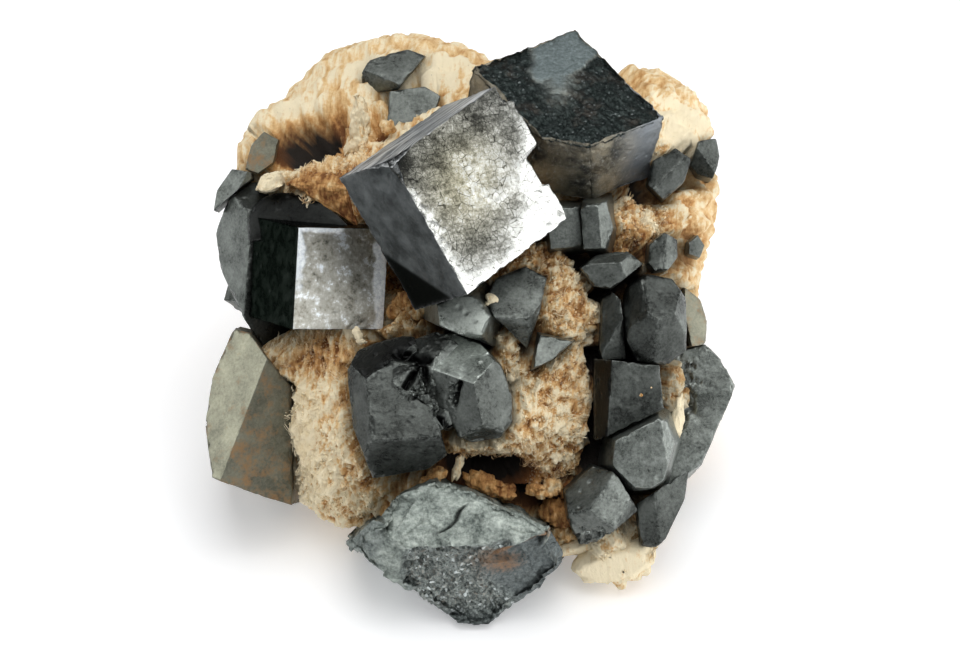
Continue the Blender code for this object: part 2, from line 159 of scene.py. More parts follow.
def shards(points, seed):
    """Broken crystal ground from about 0 to 1: each cell is a flat plate at its own height, which
    is its random number plus its own random slope times the way from its point."""
    _, home, offset = nearest_cells(points, seed)
    slope = np.stack([scrambled(home, seed + 8 + i) for i in range(3)], axis=-1) * 2 - 1
    return 0.6 * scrambled(home, seed + 7) + 0.7 * (slope * offset).sum(axis=-1)


def ramp(values, low, high):
    """From 0 at low to 1 at high, with a smooth start and end: 3t^2 - 2t^3."""
    t = np.clip((values - low) / (high - low), 0, 1)
    return t * t * (3 - 2 * t)


def unit(vectors):
    """The vectors at length 1."""
    return vectors / np.linalg.norm(vectors, axis=-1, keepdims=True)


def spot(places, middle, size):
    """1 at the middle, falling to 0 as exp(-r^2), with r the distance over the size on each axis
    that they give: across and up alone, or out as well."""
    away = (places[:, : len(middle)] - np.array(middle)) / np.array(size)
    return np.exp(-(away**2).sum(axis=-1))


def most(places, spots):
    """The highest of several spots at each place, each given by its middle and its size."""
    return np.max([spot(places, middle, size) for middle, size in spots], axis=0)


def along_line(places, start, end, width):
    """1 on the line from start to end on the display face, falling to 0 as exp(-(d / width)^2),
    with d the distance to it."""
    start, run = np.array(start), np.array(end) - np.array(start)
    way = places[:, :2] - start
    part = np.clip(way @ run / (run @ run), 0, 1)
    away = np.linalg.norm(way - part[:, None] * run, axis=1)
    return np.exp(-((away / width) ** 2))


def between(values, low, high, soft):
    """1 from low to high, falling to 0 within soft on either side."""
    return ramp(values, low - soft, low + soft) * ramp(values, high + soft, high - soft)


# Meshes ---------------------------------------------------------------------------------------


def weld(points, faces, within=1e-7):
    """Points this close made one, and the faces that collapsed dropped."""
    _, first, index = np.unique(
        np.round(points / within).astype(np.int64), axis=0, return_index=True, return_inverse=True
    )
    faces = index.reshape(-1)[faces]
    whole = np.ones(len(faces), bool)
    for side in range(faces.shape[1]):
        whole &= faces[:, side] != faces[:, side - 1]
    return points[first], faces[whole]


def read(items, key, width=1, kind=float):
    """What a mesh's items say for the key, as one row of width numbers each."""
    values = np.empty(len(items) * width, kind)
    items.foreach_get(key, values)
    return values if width == 1 else values.reshape(-1, width)


def make_piece(name, points, faces, finish, marks, smooth=True):
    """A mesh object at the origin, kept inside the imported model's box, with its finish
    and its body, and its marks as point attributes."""
    mesh = bpy.data.meshes.new(name)
    sides = faces.shape[1]
    points = np.clip(points, *np.array(cad_box))
    mesh.vertices.add(len(points))
    mesh.vertices.foreach_set("co", np.ascontiguousarray(points, np.float32).ravel())
    mesh.loops.add(faces.size)
    mesh.loops.foreach_set("vertex_index", faces.astype(np.int32).ravel())
    mesh.polygons.add(len(faces))
    mesh.polygons.foreach_set("loop_start", np.arange(0, faces.size, sides, dtype=np.int32))
    mesh.polygons.foreach_set("use_smooth", np.full(len(faces), smooth))
    mesh.update(calc_edges=True)
    for label, values in marks.items():
        layer = mesh.attributes.new(label, "FLOAT", "POINT")
        layer.data.foreach_set("value", np.ascontiguousarray(values, np.float32))
    mesh.materials.append(finish)
    piece = bpy.data.objects.new(name, mesh)
    bpy.context.scene.collection.objects.link(piece)
    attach(piece, BODY)
    return piece


# Shader maths ---------------------------------------------------------------------------------


class Value:
    """A number inside a material. Python arithmetic on it adds Math nodes."""

    def __init__(self, finish, socket):
        self.finish = finish
        self.socket = socket

    def maths(self, operation, *numbers):
        return self.finish.node("ShaderNodeMath", {"operation": operation}, dict(enumerate(numbers)))

    def __add__(self, other):
        return self.maths("ADD", self, other)

    def __sub__(self, other):
        return self.maths("SUBTRACT", self, other)

    def __rsub__(self, other):
        return self.maths("SUBTRACT", other, self)

    def __mul__(self, other):
        return self.maths("MULTIPLY", self, other)

    __radd__ = __add__
    __rmul__ = __mul__

    def over(self, low, high):
        """0 below low, 1 above high, and straight between."""
        sockets = {"Value": self, "From Min": low, "From Max": high}
        return self.finish.node("ShaderNodeMapRange", {"clamp": True}, sockets)


class Finish:
    """One material, with a Principled shader, built up node by node."""

    def __init__(self, name):
        self.material = bpy.data.materials.new(name)
        self.material.use_nodes = True
        self.tree = self.material.node_tree
        self.shader = self.tree.nodes["Principled BSDF"]
        place = self.node("ShaderNodeTexCoord", output="Object")
        scale = {"operation": "SCALE"}
        self.place = self.node("ShaderNodeVectorMath", scale, {0: place, "Scale": 1 / MM})

    def node(self, kind, settings=None, sockets=None, output=0):
        """Adds a node: its settings first, then its sockets' values or links."""
        made = self.tree.nodes.new(kind)
        for key, value in (settings or {}).items():
            setattr(made, key, value)
        for key, value in (sockets or {}).items():
            self.plug(made.inputs[key], value)
        return Value(self, made.outputs[output])

    def plug(self, socket, value):
        """Links a value, or sets a number, a vector or a colour of red, green and blue."""
        if isinstance(value, Value):
            self.tree.links.new(value.socket, socket)
        else:
            socket.default_value = (*value, 1) if socket.type == "RGBA" else value

    def attributes(self, *names):
        kind = "ShaderNodeAttribute"
        return [self.node(kind, {"attribute_name": name}, output="Fac") for name in names]

    def clouds(self, scale, detail, roughness, place=None):
        sockets = {"Vector": place or self.place, "Scale": scale}
        sockets.update({"Detail": detail, "Roughness": roughness})
        return self.node("ShaderNodeTexNoise", None, sockets)

    def glints(self, scale):
        """A random number for each cell of this scale."""
        sockets = {"Vector": self.place, "Scale": scale}
        cell = self.node("ShaderNodeTexVoronoi", None, sockets, "Color")
        return self.node("ShaderNodeSeparateColor", None, {0: cell})

    def crackle(self, scale, width):
        """1 on the borders between the cells of this scale, falling to 0 at the width."""
        sockets = {"Vector": self.place, "Scale": scale}
        border = self.node("ShaderNodeTexVoronoi", {"feature": "DISTANCE_TO_EDGE"}, sockets)
        return border.over(width, 0.0)

    def stretched(self, scales, turn):
        """The place in millimetres, turned and then stretched on each axis."""
        turned = self.node("ShaderNodeMapping", None, {"Vector": self.place, "Rotation": turn})
        return self.node("ShaderNodeMapping", None, {"Vector": turned, "Scale": scales})

    def colours(self, value, *stops):
        """A colour for each value, from stops of (position, colour)."""
        made = self.node("ShaderNodeValToRGB", None, {"Fac": value})
        elements = made.socket.node.color_ramp.elements
        while len(elements) < len(stops):
            elements.new(1.0)
        for element, (position, colour) in zip(elements, stops):
            element.position = position
            element.color = (*colour, 1)
        return made

    def mix(self, mask, first, second, blend="MIX"):
        settings = {"data_type": "RGBA", "blend_type": blend}
        return self.node("ShaderNodeMix", settings, {0: mask, 6: first, 7: second}, 2)

    def bump(self, height, depth, normal=None):
        """A normal from a height, which is depth millimetres at 1, on top of another normal."""
        sockets = {"Height": height, "Distance": depth * MM}
        if normal:
            sockets["Normal"] = normal
        return self.node("ShaderNodeBump", None, sockets)

    def set(self, **sockets):
        for key, value in sockets.items():
            self.plug(self.shader.inputs[key.replace("_", " ").title()], value)
        return self.material

    def metal(self, colour, metallic, rough, normal, **sockets):
        rough = rough.over(0, 1)
        return self.set(base_color=colour, metallic=metallic, roughness=rough, normal=normal, **sockets)


# Settings -------------------------------------------------------------------------------------


def length(name, description, default, **limits):
    return bpy.props.FloatProperty(
        name=name, description=description, default=default, unit="LENGTH", precision=6, **limits
    )


def share(name, description, default):
    return bpy.props.FloatProperty(
        name=name, description=description, default=default, min=0, max=1, subtype="FACTOR"
    )


def colour(name, description, default):
    return bpy.props.FloatVectorProperty(
        name=name, description=description, default=default, subtype="COLOR", min=0, max=1
    )


class SpecimenCrystals(bpy.types.PropertyGroup):
    edge_wear: length("Edge wear", "How round the crystals' edges are worn", 0.03 * MM)
    dark: colour("Dark", "The metal's colour on its darkest ground", (0.028, 0.031, 0.028))
    light: colour("Light", "The metal's colour on its lightest ground", (0.128, 0.139, 0.128))
    mirror: colour("Mirror", "The big cube's bright face", (0.62, 0.63, 0.60))
    tarnish: colour("Tarnish", "The etched ground on the bright face", (0.19, 0.18, 0.125))
    rust: colour("Rust", "Stains on the rusty crystals", (0.27, 0.145, 0.052))
    roughness: share("Roughness", "Of an ordinary facet", 0.32)


class SpecimenMatrix(bpy.types.PropertyGroup):
    cream: colour("Cream", "The matrix where it stands proud", (0.80, 0.56, 0.28))
    white: colour("White", "Its palest fibres", (0.92, 0.80, 0.56))
    tan: colour("Tan", "The matrix between", (0.56, 0.295, 0.100))
    brown: colour("Brown", "Its hollows", (0.19, 0.068, 0.015))
    relief: length("Relief", "Height of the coarse lumps", 0.42 * MM)
    needle_length: length("Needle length", "Of an ordinary needle", 0.65 * MM)
    needle_count: bpy.props.IntProperty(
        name="Needles", description="How many needles lie on the matrix", default=7400, min=0
    )
    grain_count: bpy.props.IntProperty(
        name="Grains", description="How many loose grains lie on the matrix", default=14000, min=0
    )


class SpecimenStage(bpy.types.PropertyGroup):
    distance: length("Camera distance", "From the display face", 215 * MM)
    view_width: length("View width", "What the camera takes in at the display face", 64 * MM)
    floor: colour("Floor", "The pale floor", (0.90, 0.90, 0.905))


# Crystals -------------------------------------------------------------------------------------

SLIGHT = 0.001 * MM  # how far a corner may be off its planes


def facets_of(node):
    """(normals, distances): the planes of a convex node, largest first, each as its outward unit
    normal and its distance along that normal from the world's origin."""
    facets = node.data.polygons
    normals, centres = read(facets, "normal", 3), read(facets, "center", 3)
    areas = read(facets, "area")
    distances = (normals * centres).sum(axis=1)
    found = []
    left = areas > 0.0005 * areas.sum()
    while left.any():
        lead = np.argmax(np.where(left, areas, 0))
        same = left & (normals @ normals[lead] > 0.9995)
        same &= np.abs(centres @ normals[lead] - distances[lead]) < 0.05 * MM
        mean = (normals[same] * areas[same, None]).sum(axis=0)
        mean /= np.linalg.norm(mean)
        found.append((mean, (centres[same] @ mean * areas[same]).sum() / areas[same].sum()))
        left &= ~same
    return np.array([normal for normal, _ in found]), np.array([reach for _, reach in found])


def facet_corners(normals, reaches):
    """For each plane, the corners on it of the convex solid behind all the planes.

    Every three planes meet in a point, and the corners are those that no other plane cuts off."""
    triples = np.array(list(itertools.combinations(range(len(normals)), 3)))
    systems = normals[triples]
    sharp = np.abs(np.linalg.det(systems)) > 1e-4
    triples = triples[sharp]
    points = np.linalg.solve(systems[sharp], reaches[triples][..., None])[..., 0]
    points = points[(points @ normals.T <= reaches + SLIGHT).all(axis=1)]
    _, first = np.unique(np.round(points / (10 * SLIGHT)), axis=0, return_index=True)
    points = points[first]
    return [points[np.abs(points @ n - r) < 1.5 * SLIGHT] for n, r in zip(normals, reaches)]


def facet_patches(normals, reaches, cells):
    """Points and triangles that cover every facet: a fan of triangles from its middle, each cut
    into cells along its sides, so that neighbouring facets share the points of their edge."""
    across, along = np.meshgrid(np.arange(cells + 1), np.arange(cells + 1), indexing="ij")
    kept = across + along <= cells
    index = np.cumsum(kept).reshape(kept.shape) - 1
    weights = np.stack([across[kept], along[kept]], axis=1) / cells
    low = kept[:-1, :-1] & (across + along < cells)[:-1, :-1]
    high = (across + along < cells - 1)[:-1, :-1]
    here, right, over, both = index[:-1, :-1], index[1:, :-1], index[:-1, 1:], index[1:, 1:]
    pattern = np.concatenate(
        [
            np.stack([here[low], right[low], over[low]], axis=1),
            np.stack([right[high], both[high], over[high]], axis=1),
        ]
    )
    points, faces = [], []
    for normal, ring in zip(normals, facet_corners(normals, reaches)):
        if len(ring) < 3:
            continue
        middle = ring.mean(axis=0)
        side = ring[0] - middle
        angles = np.arctan2((ring - middle) @ np.cross(normal, side), (ring - middle) @ side)
        ring = ring[np.argsort(angles)]
        for start, end in zip(ring, np.roll(ring, -1, axis=0)):
            faces.append(pattern + len(points) * len(weights))
            points.append(middle + weights @ np.stack([start - middle, end - middle]))
    return weld(np.concatenate(points), np.concatenate(faces), 2e-8)


def worn(points, normals, reaches, wear):
    """Points of the facets drawn in to the round-edged solid, their outward directions, and how
    far each is from its facet's edges. The round solid is where wear * log(sum(exp(g / wear))) is
    0, with g the heights over the planes, so a flat stays put and an edge is rounded."""
    heights = points @ normals.T - reaches
    pull = np.exp(heights / wear)
    outward = unit(pull @ normals)
    points = points - outward * (wear * np.log(pull.sum(axis=1)))[:, None]
    edge = -np.sort(heights, axis=1)[:, -2]
    return points, outward, edge


def crystal_relief(places, edge, settings):
    """How deep each point lies below its facet, in millimetres.

    Terraces are noise cut into steps; pits are small round cells; chips eat in from the edges;
    broken ground is shards at two sizes, where the setting's spots say."""
    seed = settings["seed"]
    terraces = np.round(2.5 * layers(places / settings["terrace_size"], 3, seed)) / 2.5
    depth = settings["terrace"] * (1 - terraces)
    depth += settings["wave"] * (1 + layers(places / 0.7, 3, seed + 5))
    nearest, home, _ = nearest_cells(places / settings["pit_size"], seed + 11)
    pits = ramp(nearest, 0.45, 0.1) * (scrambled(home, seed + 18) < settings["pit_share"])
    depth += settings["pit"] * pits
    ragged = layers(places / 0.6, 4, seed + 23)
    depth += settings["chip"] * ramp(ragged, -0.1, 0.6) * np.exp(-edge / settings["chip_size"])
    broken = most(places, settings["broken"]) if settings["broken"] else 0
    broken = ramp(broken + 0.35 * ragged, 0.35, 0.6)
    if settings["broken"]:
        rough = shards(places / 0.75, seed + 31) + 0.45 * shards(places / 0.3, seed + 37)
        depth += broken * settings["break_depth"] * (0.35 + rough)
    crack = np.zeros(len(places))
    for start, end, width in settings["cracks"]:
        crack = np.maximum(crack, along_line(places + 0.12 * ragged[:, None], start, end, width))
    depth += settings["crack_depth"] * crack
    return depth, pits, broken, crack


CENTRE_CRACKS = (
    # where each starts and ends on the display face, and its width
    ((-3.75, -2.0), (-3.2, -4.15), 0.17),
    ((-3.9, -2.1), (-4.9, -3.8), 0.19),
    ((-5.3, -1.7), (-3.4, -2.0), 0.30),
    ((-1.4, -3.6), (-1.8, -5.0), 0.15),
    ((-2.7, -5.6), (-1.8, -6.9), 0.22),
)
CRYSTAL_DEFAULTS = {
    # grow, depths and sizes are in millimetres; broken holds spots, cracks holds lines, and the painted
    # facet light holds directions with how much brighter or darker than its tone what faces them is
    # painted: painted light and shade
    "cells": 16, "grow": 0.12, "terrace_size": 1.6, "terrace": 0.014, "wave": 0.006,
    "pit_size": 0.5, "pit_share": 0.12, "pit": 0.05, "chip": 0.16, "chip_size": 0.12,
    "broken": (), "break_depth": 0.3, "cracks": (), "crack_depth": 0.7,
    "wear": 1.0, "tone": 1.0, "painted_facet_light": (),
}


def build_crystal(name, finish, slot, extra=None, warp=None, planes=None, **changes):
    """Rebuilds one crystal over its node, or from planes of its own: its facets, worn, then drawn
    in along their outward directions by their relief. warp(places) may bend it first, and
    extra(places, edge, outward, depth) may deepen it and return more attributes."""
    settings = {**CRYSTAL_DEFAULTS, **changes}
    crystals = bpy.context.scene.specimen_crystals
    normals, reaches = planes or facets_of(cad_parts[name])
    reaches = reaches + settings["grow"] * MM
    points, faces = facet_patches(normals, reaches, settings["cells"])
    points, outward, edge = worn(points, normals, reaches, crystals.edge_wear * settings["wear"])
    if warp:
        points = from_display(warp(on_display(points)))
    places = on_display(points)
    facing = outward @ DISPLAY_AXES.T
    edge = edge / MM
    depth, pits, broken, crack = crystal_relief(places, edge, settings)
    tone = np.full(len(points), settings["tone"])
    # painted light and shade: facets facing each listed direction are painted brighter or darker by its
    # factor
    for direction, factor in settings["painted_facet_light"]:
        tone *= 1 + (factor - 1) * ramp(facing @ unit(direction), 0.80, 0.95)
    marks = {"wear": np.exp(-np.abs(edge) / 0.08), "pits": pits, "broken": broken}
    # painted shade: the tone falls nearly to black along the cracks
    marks["tone"] = tone * (1 - 0.94 * ramp(crack, 0.1, 0.5))
    if extra:
        depth, more = extra(places, edge, facing, depth)
        marks.update(more)
    points = points - outward * np.maximum(depth, 0)[:, None] * MM
    piece = make_piece(name + "_stone", points, faces, finish, marks)
    if planes is None:
        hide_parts(name)


def slab_planes(outline, front, back):
    """The planes of a plate, from its outline on the display face, walked anticlockwise, with
    sides square to the face; its front planes, each a direction and a place on it; and how far
    out its back lies. A plane's distance is its direction times a place on it."""
    corners = np.array(outline)
    run = np.roll(corners, -1, axis=0) - corners
    level = np.zeros(len(run))
    ways, places = zip(*front, ((0, 0, -1), (0, 0, back)))
    ways = np.concatenate([np.stack([run[:, 1], -run[:, 0], level], axis=1), ways])
    places = np.concatenate([np.c_[corners, level], places])
    normals = unit(ways) @ DISPLAY_AXES
    return normals, (normals * from_display(places)).sum(axis=1)


def crystal_finish(name, dark, light, roughness, rust=0.0, metal=0.8, spread=0.105):
    """Dark metal: clouded and finely grained, a little paler along worn edges, partly wear and partly
    painted highlight, dull in its pits, and broken into grains where it is crushed, the brightest of
    them painted pale as glints. rust is how much of it is stained."""
    crystals = bpy.context.scene.specimen_crystals
    finish = Finish(name)
    tone, wear, pits, broken = finish.attributes("tone", "wear", "pits", "broken")
    clouds = finish.clouds(0.55, 6, 0.62)
    specks = finish.clouds(5.0, 6, 0.72)
    glint = finish.glints(6.0)
    mottle = clouds * 0.55 + specks * 0.45
    colour = finish.colours(mottle, (0.5 - spread, dark), (0.5 + spread, light))
    # the tone attribute carries the crystal's own tone together with painted light and shade on its
    # facets and in its cracks
    shade = finish.node("ShaderNodeCombineColor", None, {0: tone, 1: tone, 2: tone})
    colour = finish.mix(1.0, colour, shade, "MULTIPLY")
    glitter = finish.mix(glint.over(0.15, 0.85), dark, light)
    # painted glints: the brightest cells of the broken ground are painted pale
    glitter = finish.mix(glint.over(0.90, 0.99), glitter, (0.42, 0.46, 0.43))
    colour = finish.mix(broken * 0.75, colour, glitter)
    # edges painted paler: partly wear, partly painted highlight
    colour = finish.mix(wear * specks.over(0.48, 0.62) * 0.4, colour, (0.25, 0.27, 0.255))
    dust = finish.clouds(1.7, 6, 0.8).over(0.64, 0.72) * 0.55
    colour = finish.mix(dust, colour, (0.17, 0.165, 0.155))
    dull = pits * 0.5 + dust * 0.5
    metallic = metal - dull * 0.7
    rough = roughness + (clouds - 0.5) * 0.3 + (specks - 0.5) * 0.25 + dull * 0.3
    if rust:
        stain = finish.clouds(0.9, 7, 0.72)
        stain = (stain * 0.75 + specks * 0.25 - (tone - 1) * 0.03).over(0.47, 0.60) * rust
        colour = finish.mix(stain * 0.8, colour, crystals.rust)
        metallic = metallic * (1 - stain * 0.9)
        rough = rough + stain * 0.3
    normal = finish.bump(specks * 0.6 + finish.clouds(16.0, 3, 0.6) * 0.4, 0.035)
    normal = finish.bump(glint * broken, 0.12, normal)
    return finish.metal(colour, metallic.over(0, 1), rough, normal)


BIG_CUBE_FACE = np.array([0.1, 9.0, 6.5])
FACE_SHINE = (
    # middle, size, and how much more or less the bright face shines there
    ((3.9, 9.2), (2.3, 3.2), 0.42), ((3.6, 12.6), (0.7, 1.6), 0.30),
    ((-0.4, 13.9), (1.4, 1.7), -0.26), ((1.9, 12.4), (0.9, 1.6), -0.20),
    ((-3.3, 10.2), (1.9, 2.6), -0.14), ((-0.4, 9.7), (1.5, 2.2), 0.12),
    ((0.9, 5.2), (2.1, 1.2), -0.20), ((2.4, 8.1), (1.0, 0.9), -0.18),
    ((5.3, 7.6), (0.3, 0.3), -0.45),
)
TOWARD_FRONT = np.array([0.589, 0.168, 0.791])
TOWARD_TOP = np.array([-0.49, 0.857, 0.187])
TOWARD_NOTCH = np.array([0.65, 0.49, -0.58])
FACE_CORNER = np.array([-0.97, 1.97])  # the bright face's lowest corner, on the display face
ALONG_LOWER_SIDE = np.array([0.877, 0.481])
ALONG_LEFT_SIDE = np.array([-0.624, 0.781])
SHADED_CORNER = np.array([-6.1, 4.8])  # where the side left of the face starts to be in shadow
TOWARD_SHADE = np.array([-0.555, -0.832])
DARK_CUBE_FRONT = np.array([0.15, 0.69, 0.706])
LEFT_CUBE_FRONT = np.array([0.475, -0.126, 0.871])


def big_cube_warp(places):
    """A growth plate that stands proud of the notched side near the top, and a notch below it:
    the side is moved along its own direction, more the nearer a point is to it."""
    along = (places - BIG_CUBE_FACE) @ TOWARD_TOP
    near = ramp((places - BIG_CUBE_FACE) @ TOWARD_NOTCH, 2.2, 5.0)
    ragged = 0.12 * layers(places / 0.7, 3, 29)
    move = 0.75 * between(along + ragged, 0.1, 3.7, 0.14)
    move -= 0.55 * between(along + ragged, -2.3, 0.0, 0.14)
    return places + TOWARD_NOTCH * (near * move)[:, None]


def big_cube_extra(places, edge, outward, depth):
    """The bright face: clean mirror on the right and along its lower edges, etched olive ground on
    the left, speckled black near the top, small round beads along the left edge, and a chipped
    corner. The fine lines on the top face run along its long edge."""
    front = ramp(outward @ TOWARD_FRONT, 0.7, 0.95)
    top = ramp(outward @ TOWARD_TOP, 0.7, 0.9)
    ragged = layers(places / 1.2, 4, 31)
    fine = layers(places / 0.35, 3, 37)
    flat = places[:, :2]
    lower = (flat - FACE_CORNER) @ ALONG_LEFT_SIDE
    left = (flat - FACE_CORNER) @ ALONG_LOWER_SIDE
    shine = 0.54 + 0.16 * ragged + 0.10 * fine
    shine += 0.40 * np.exp(-((lower / 1.25) ** 2)) * ramp(flat[:, 0], -1.6, 0.2)
    shine += 0.42 * np.exp(-((left / 0.85) ** 2)) * ramp(flat[:, 1], 9.6, 8.2)
    for middle, size, change in FACE_SHINE:
        shine += change * spot(places, middle, size)
    corner = spot(places, (-5.8, 10.9, 10.4), (1.3, 1.5, 2.6))
    shine -= 0.7 * corner
    warm = spot(places, (-1.0, 9.4), (2.6, 3.4))
    etched = ramp(shine, 0.80, 0.60) * front
    nearest, _, _ = nearest_cells(places / 0.62, 43)
    beads = np.exp(-((left / 1.1) ** 2)) * ramp(flat[:, 1], 3.0, 6.5) * front
    depth = depth + etched * (0.03 + 0.07 * np.abs(fine) + 0.04 * np.abs(ragged))
    depth += beads * 0.16 * ramp(nearest, 0.2, 0.75)
    depth += corner * (0.45 + 0.3 * ragged)
    streaks = noise(places @ np.stack([TOWARD_FRONT * 6, TOWARD_NOTCH * 0.5, TOWARD_TOP]).T, 41)
    depth += top * 0.05 * np.abs(streaks)
    # painted shadow: the side left of the front turns near black below a line through the shaded corner
    shade = ramp((flat - SHADED_CORNER) @ TOWARD_SHADE, -0.1, 0.15)
    marks = {"shine": shine, "warm": warm, "front": front, "top": top, "streaks": streaks}
    return depth, {**marks, "shade": shade * (1 - front)}


def big_cube_finish():
    """Mirror-bright metal on the front, tarnished where it is etched, and plain dark metal with
    fine growth lines on the other faces; a painted shadow turns the lower part of the side left of the
    front near black."""
    crystals = bpy.context.scene.specimen_crystals
    finish = Finish("mirror_crystal")
    front, shine, warm, top = finish.attributes("front", "shine", "warm", "top")
    streaks, shade, wear = finish.attributes("streaks", "shade", "wear")
    clouds = finish.clouds(0.9, 6, 0.62)
    specks = finish.clouds(4.6, 7, 0.82)
    fine = finish.clouds(15.0, 4, 0.8)
    cracks = finish.crackle(1.7, 0.035)
    etch = shine + (clouds - 0.5) * 0.50 + (specks - 0.5) * 1.2 + (fine - 0.5) * 0.8 - 0.01
    scratches = finish.clouds(1.0, 3, 0.7, finish.stretched((9.0, 0.5, 1.0), (0.0, 0.0, 0.9)))
    etch = etch - cracks * clouds.over(0.42, 0.56) * 0.55 + (scratches - 0.5) * 0.35
    mirror = np.array(crystals.mirror)
    cool = finish.colours(
        etch,
        (0.10, (0.012, 0.013, 0.012)),
        (0.30, (0.055, 0.056, 0.050)),
        (0.46, (0.170, 0.172, 0.155)),
        (0.60, (0.320, 0.322, 0.298)),
        (0.68, mirror * 0.80),
        (0.88, mirror),
    )
    amber = finish.colours(
        etch,
        (0.10, (0.018, 0.016, 0.010)),
        (0.28, (0.080, 0.074, 0.048)),
        (0.44, crystals.tarnish),
        (0.62, (0.400, 0.375, 0.270)),
        (0.76, mirror * 0.85),
        (0.90, mirror),
    )
    face = finish.mix(warm, cool, amber)
    side = finish.mix(clouds.over(0.35, 0.7), (0.018, 0.021, 0.021), (0.080, 0.088, 0.088))
    side = finish.mix(specks.over(0.60, 0.70) * 0.6, side, (0.20, 0.20, 0.20))
    lines = (streaks * 0.5 + 0.5 + (specks - 0.5) * 0.6).over(0.35, 0.75)
    upper = finish.mix(lines, (0.20, 0.21, 0.21), (0.66, 0.68, 0.68))
    # painted shadow on the lower part of the side left of the front
    side = finish.mix(shade, side, (0.002, 0.003, 0.002))
    side = finish.mix(top, side, upper)
    # edges painted paler: partly wear, partly painted highlight
    side = finish.mix(wear * specks.over(0.42, 0.6) * 0.7, side, (0.45, 0.46, 0.46))
    colour = finish.mix(front, side, face)
    dull = shine.over(0.85, 0.55) * front
    rough = 0.30 + (specks - 0.5) * 0.25 + dull * 0.14 - front * 0.06 + top * 0.08
    rough = rough + shade * 0.6
    normal = finish.bump(specks * (0.3 + dull * 0.7) + fine * 0.3 + streaks * top * 0.3, 0.04)
    return finish.metal(colour, 0.92, rough, normal)


def dark_cube_extra(places, edge, outward, depth):
    """A rough, glittering front with a smoother slate lobe along its top corner."""
    front = ramp(outward @ DARK_CUBE_FRONT, 0.7, 0.95)
    ragged = layers(places / 1.6, 4, 53)
    across, up = places[:, 0], places[:, 1]
    slate = ramp(across + 0.5 * ragged, 3.4, 3.9)
    slate *= ramp(up - 16.6 - 0.1375 * (across - 4.0) ** 2 + 0.5 * ragged, -0.2, 0.2)
    slate = np.maximum(slate, spot(places, (5.3, 16.9), (0.8, 1.3)))
    rough = front * (1 - slate)
    depth = depth + rough * (0.20 * shards(places / 0.55, 57) + 0.10 * shards(places / 0.25, 58))
    depth += slate * front * 0.03
    depth += np.exp(-edge / 0.5) * (0.10 + 0.3 * np.abs(ragged))
    # right marks the part of the underside painted with a bluish grey reflection
    right = ramp(across, 8.6, 11.5)
    return depth, {"rough_ground": rough, "slate": slate * front, "right": right}


def dark_cube_finish():
    """Black, glittering with tiny facets and painted glints, slate grey on the smooth lobe, and on the
    underside black glitter turning brown, and towards the right a painted bluish grey reflection."""
    finish = Finish("rough_black_crystal")
    slate, rough_ground, right, wear = finish.attributes("slate", "rough_ground", "right", "wear")
    specks = finish.clouds(4.5, 7, 0.75)
    clouds = finish.clouds(0.5, 6, 0.65)
    glint = finish.glints(8.0)
    black = finish.mix(specks.over(0.42, 0.7), (0.007, 0.012, 0.011), (0.070, 0.086, 0.082))
    black = finish.mix(clouds.over(0.52, 0.66) * 0.6, black, (0.060, 0.045, 0.036))
    # painted glints: the brightest cells are painted pale grey
    black = finish.mix(glint.over(0.94, 0.99) * 0.5, black, (0.25, 0.28, 0.28))
    pale = finish.mix(specks.over(0.35, 0.7), (0.130, 0.165, 0.165), (0.34, 0.40, 0.40))
    plain = finish.mix(clouds.over(0.38, 0.62), (0.060, 0.060, 0.052), (0.30, 0.27, 0.20))
    plain = finish.mix(specks.over(0.53, 0.66) * 0.6, plain, (0.42, 0.42, 0.38))
    # painted reflection: bluish grey towards the right of the underside
    plain = finish.mix(right * 0.8, plain, (0.30, 0.33, 0.36))
    colour = finish.mix(rough_ground, plain, black)
    colour = finish.mix(slate, colour, pale)
    # edges painted paler: partly wear, partly painted highlight
    colour = finish.mix(wear * specks.over(0.5, 0.62) * 0.4, colour, (0.25, 0.27, 0.27))
    normal = finish.bump(glint, 0.10, finish.bump(specks, 0.05))
    rough = 0.42 + (specks - 0.5) * 0.3
    return finish.metal(colour, 0.85, rough, normal)


def left_cube_extra(places, edge, outward, depth):
    """The mottled front: painted reflections as bright bands on the left, top and right, clouded
    between.
    """
    front = ramp(outward @ LEFT_CUBE_FRONT, 0.8, 0.97)
    across, up = places[:, 0], places[:, 1]
    ragged = layers(places / 0.9, 4, 71)
    bands = 1.1 * ramp(across, -7.4, -6.6) * ramp(up, 6.6, 5.4)
    bands = np.maximum(bands, ramp(across, -11.2, -12.0) * ramp(up, 1.6, 4.6))
    bands = np.maximum(bands, ramp(up, 6.0, 6.6) * ramp(across, -8.4, -9.8))
    # bright: the bands of painted reflection on the front
    bright = ramp(bands + 0.55 * ragged, 0.3, 0.8) * front
    depth = depth + front * (1 - bright) * (0.02 + 0.04 * np.abs(ragged))
    return depth, {"front": front, "bright": bright}


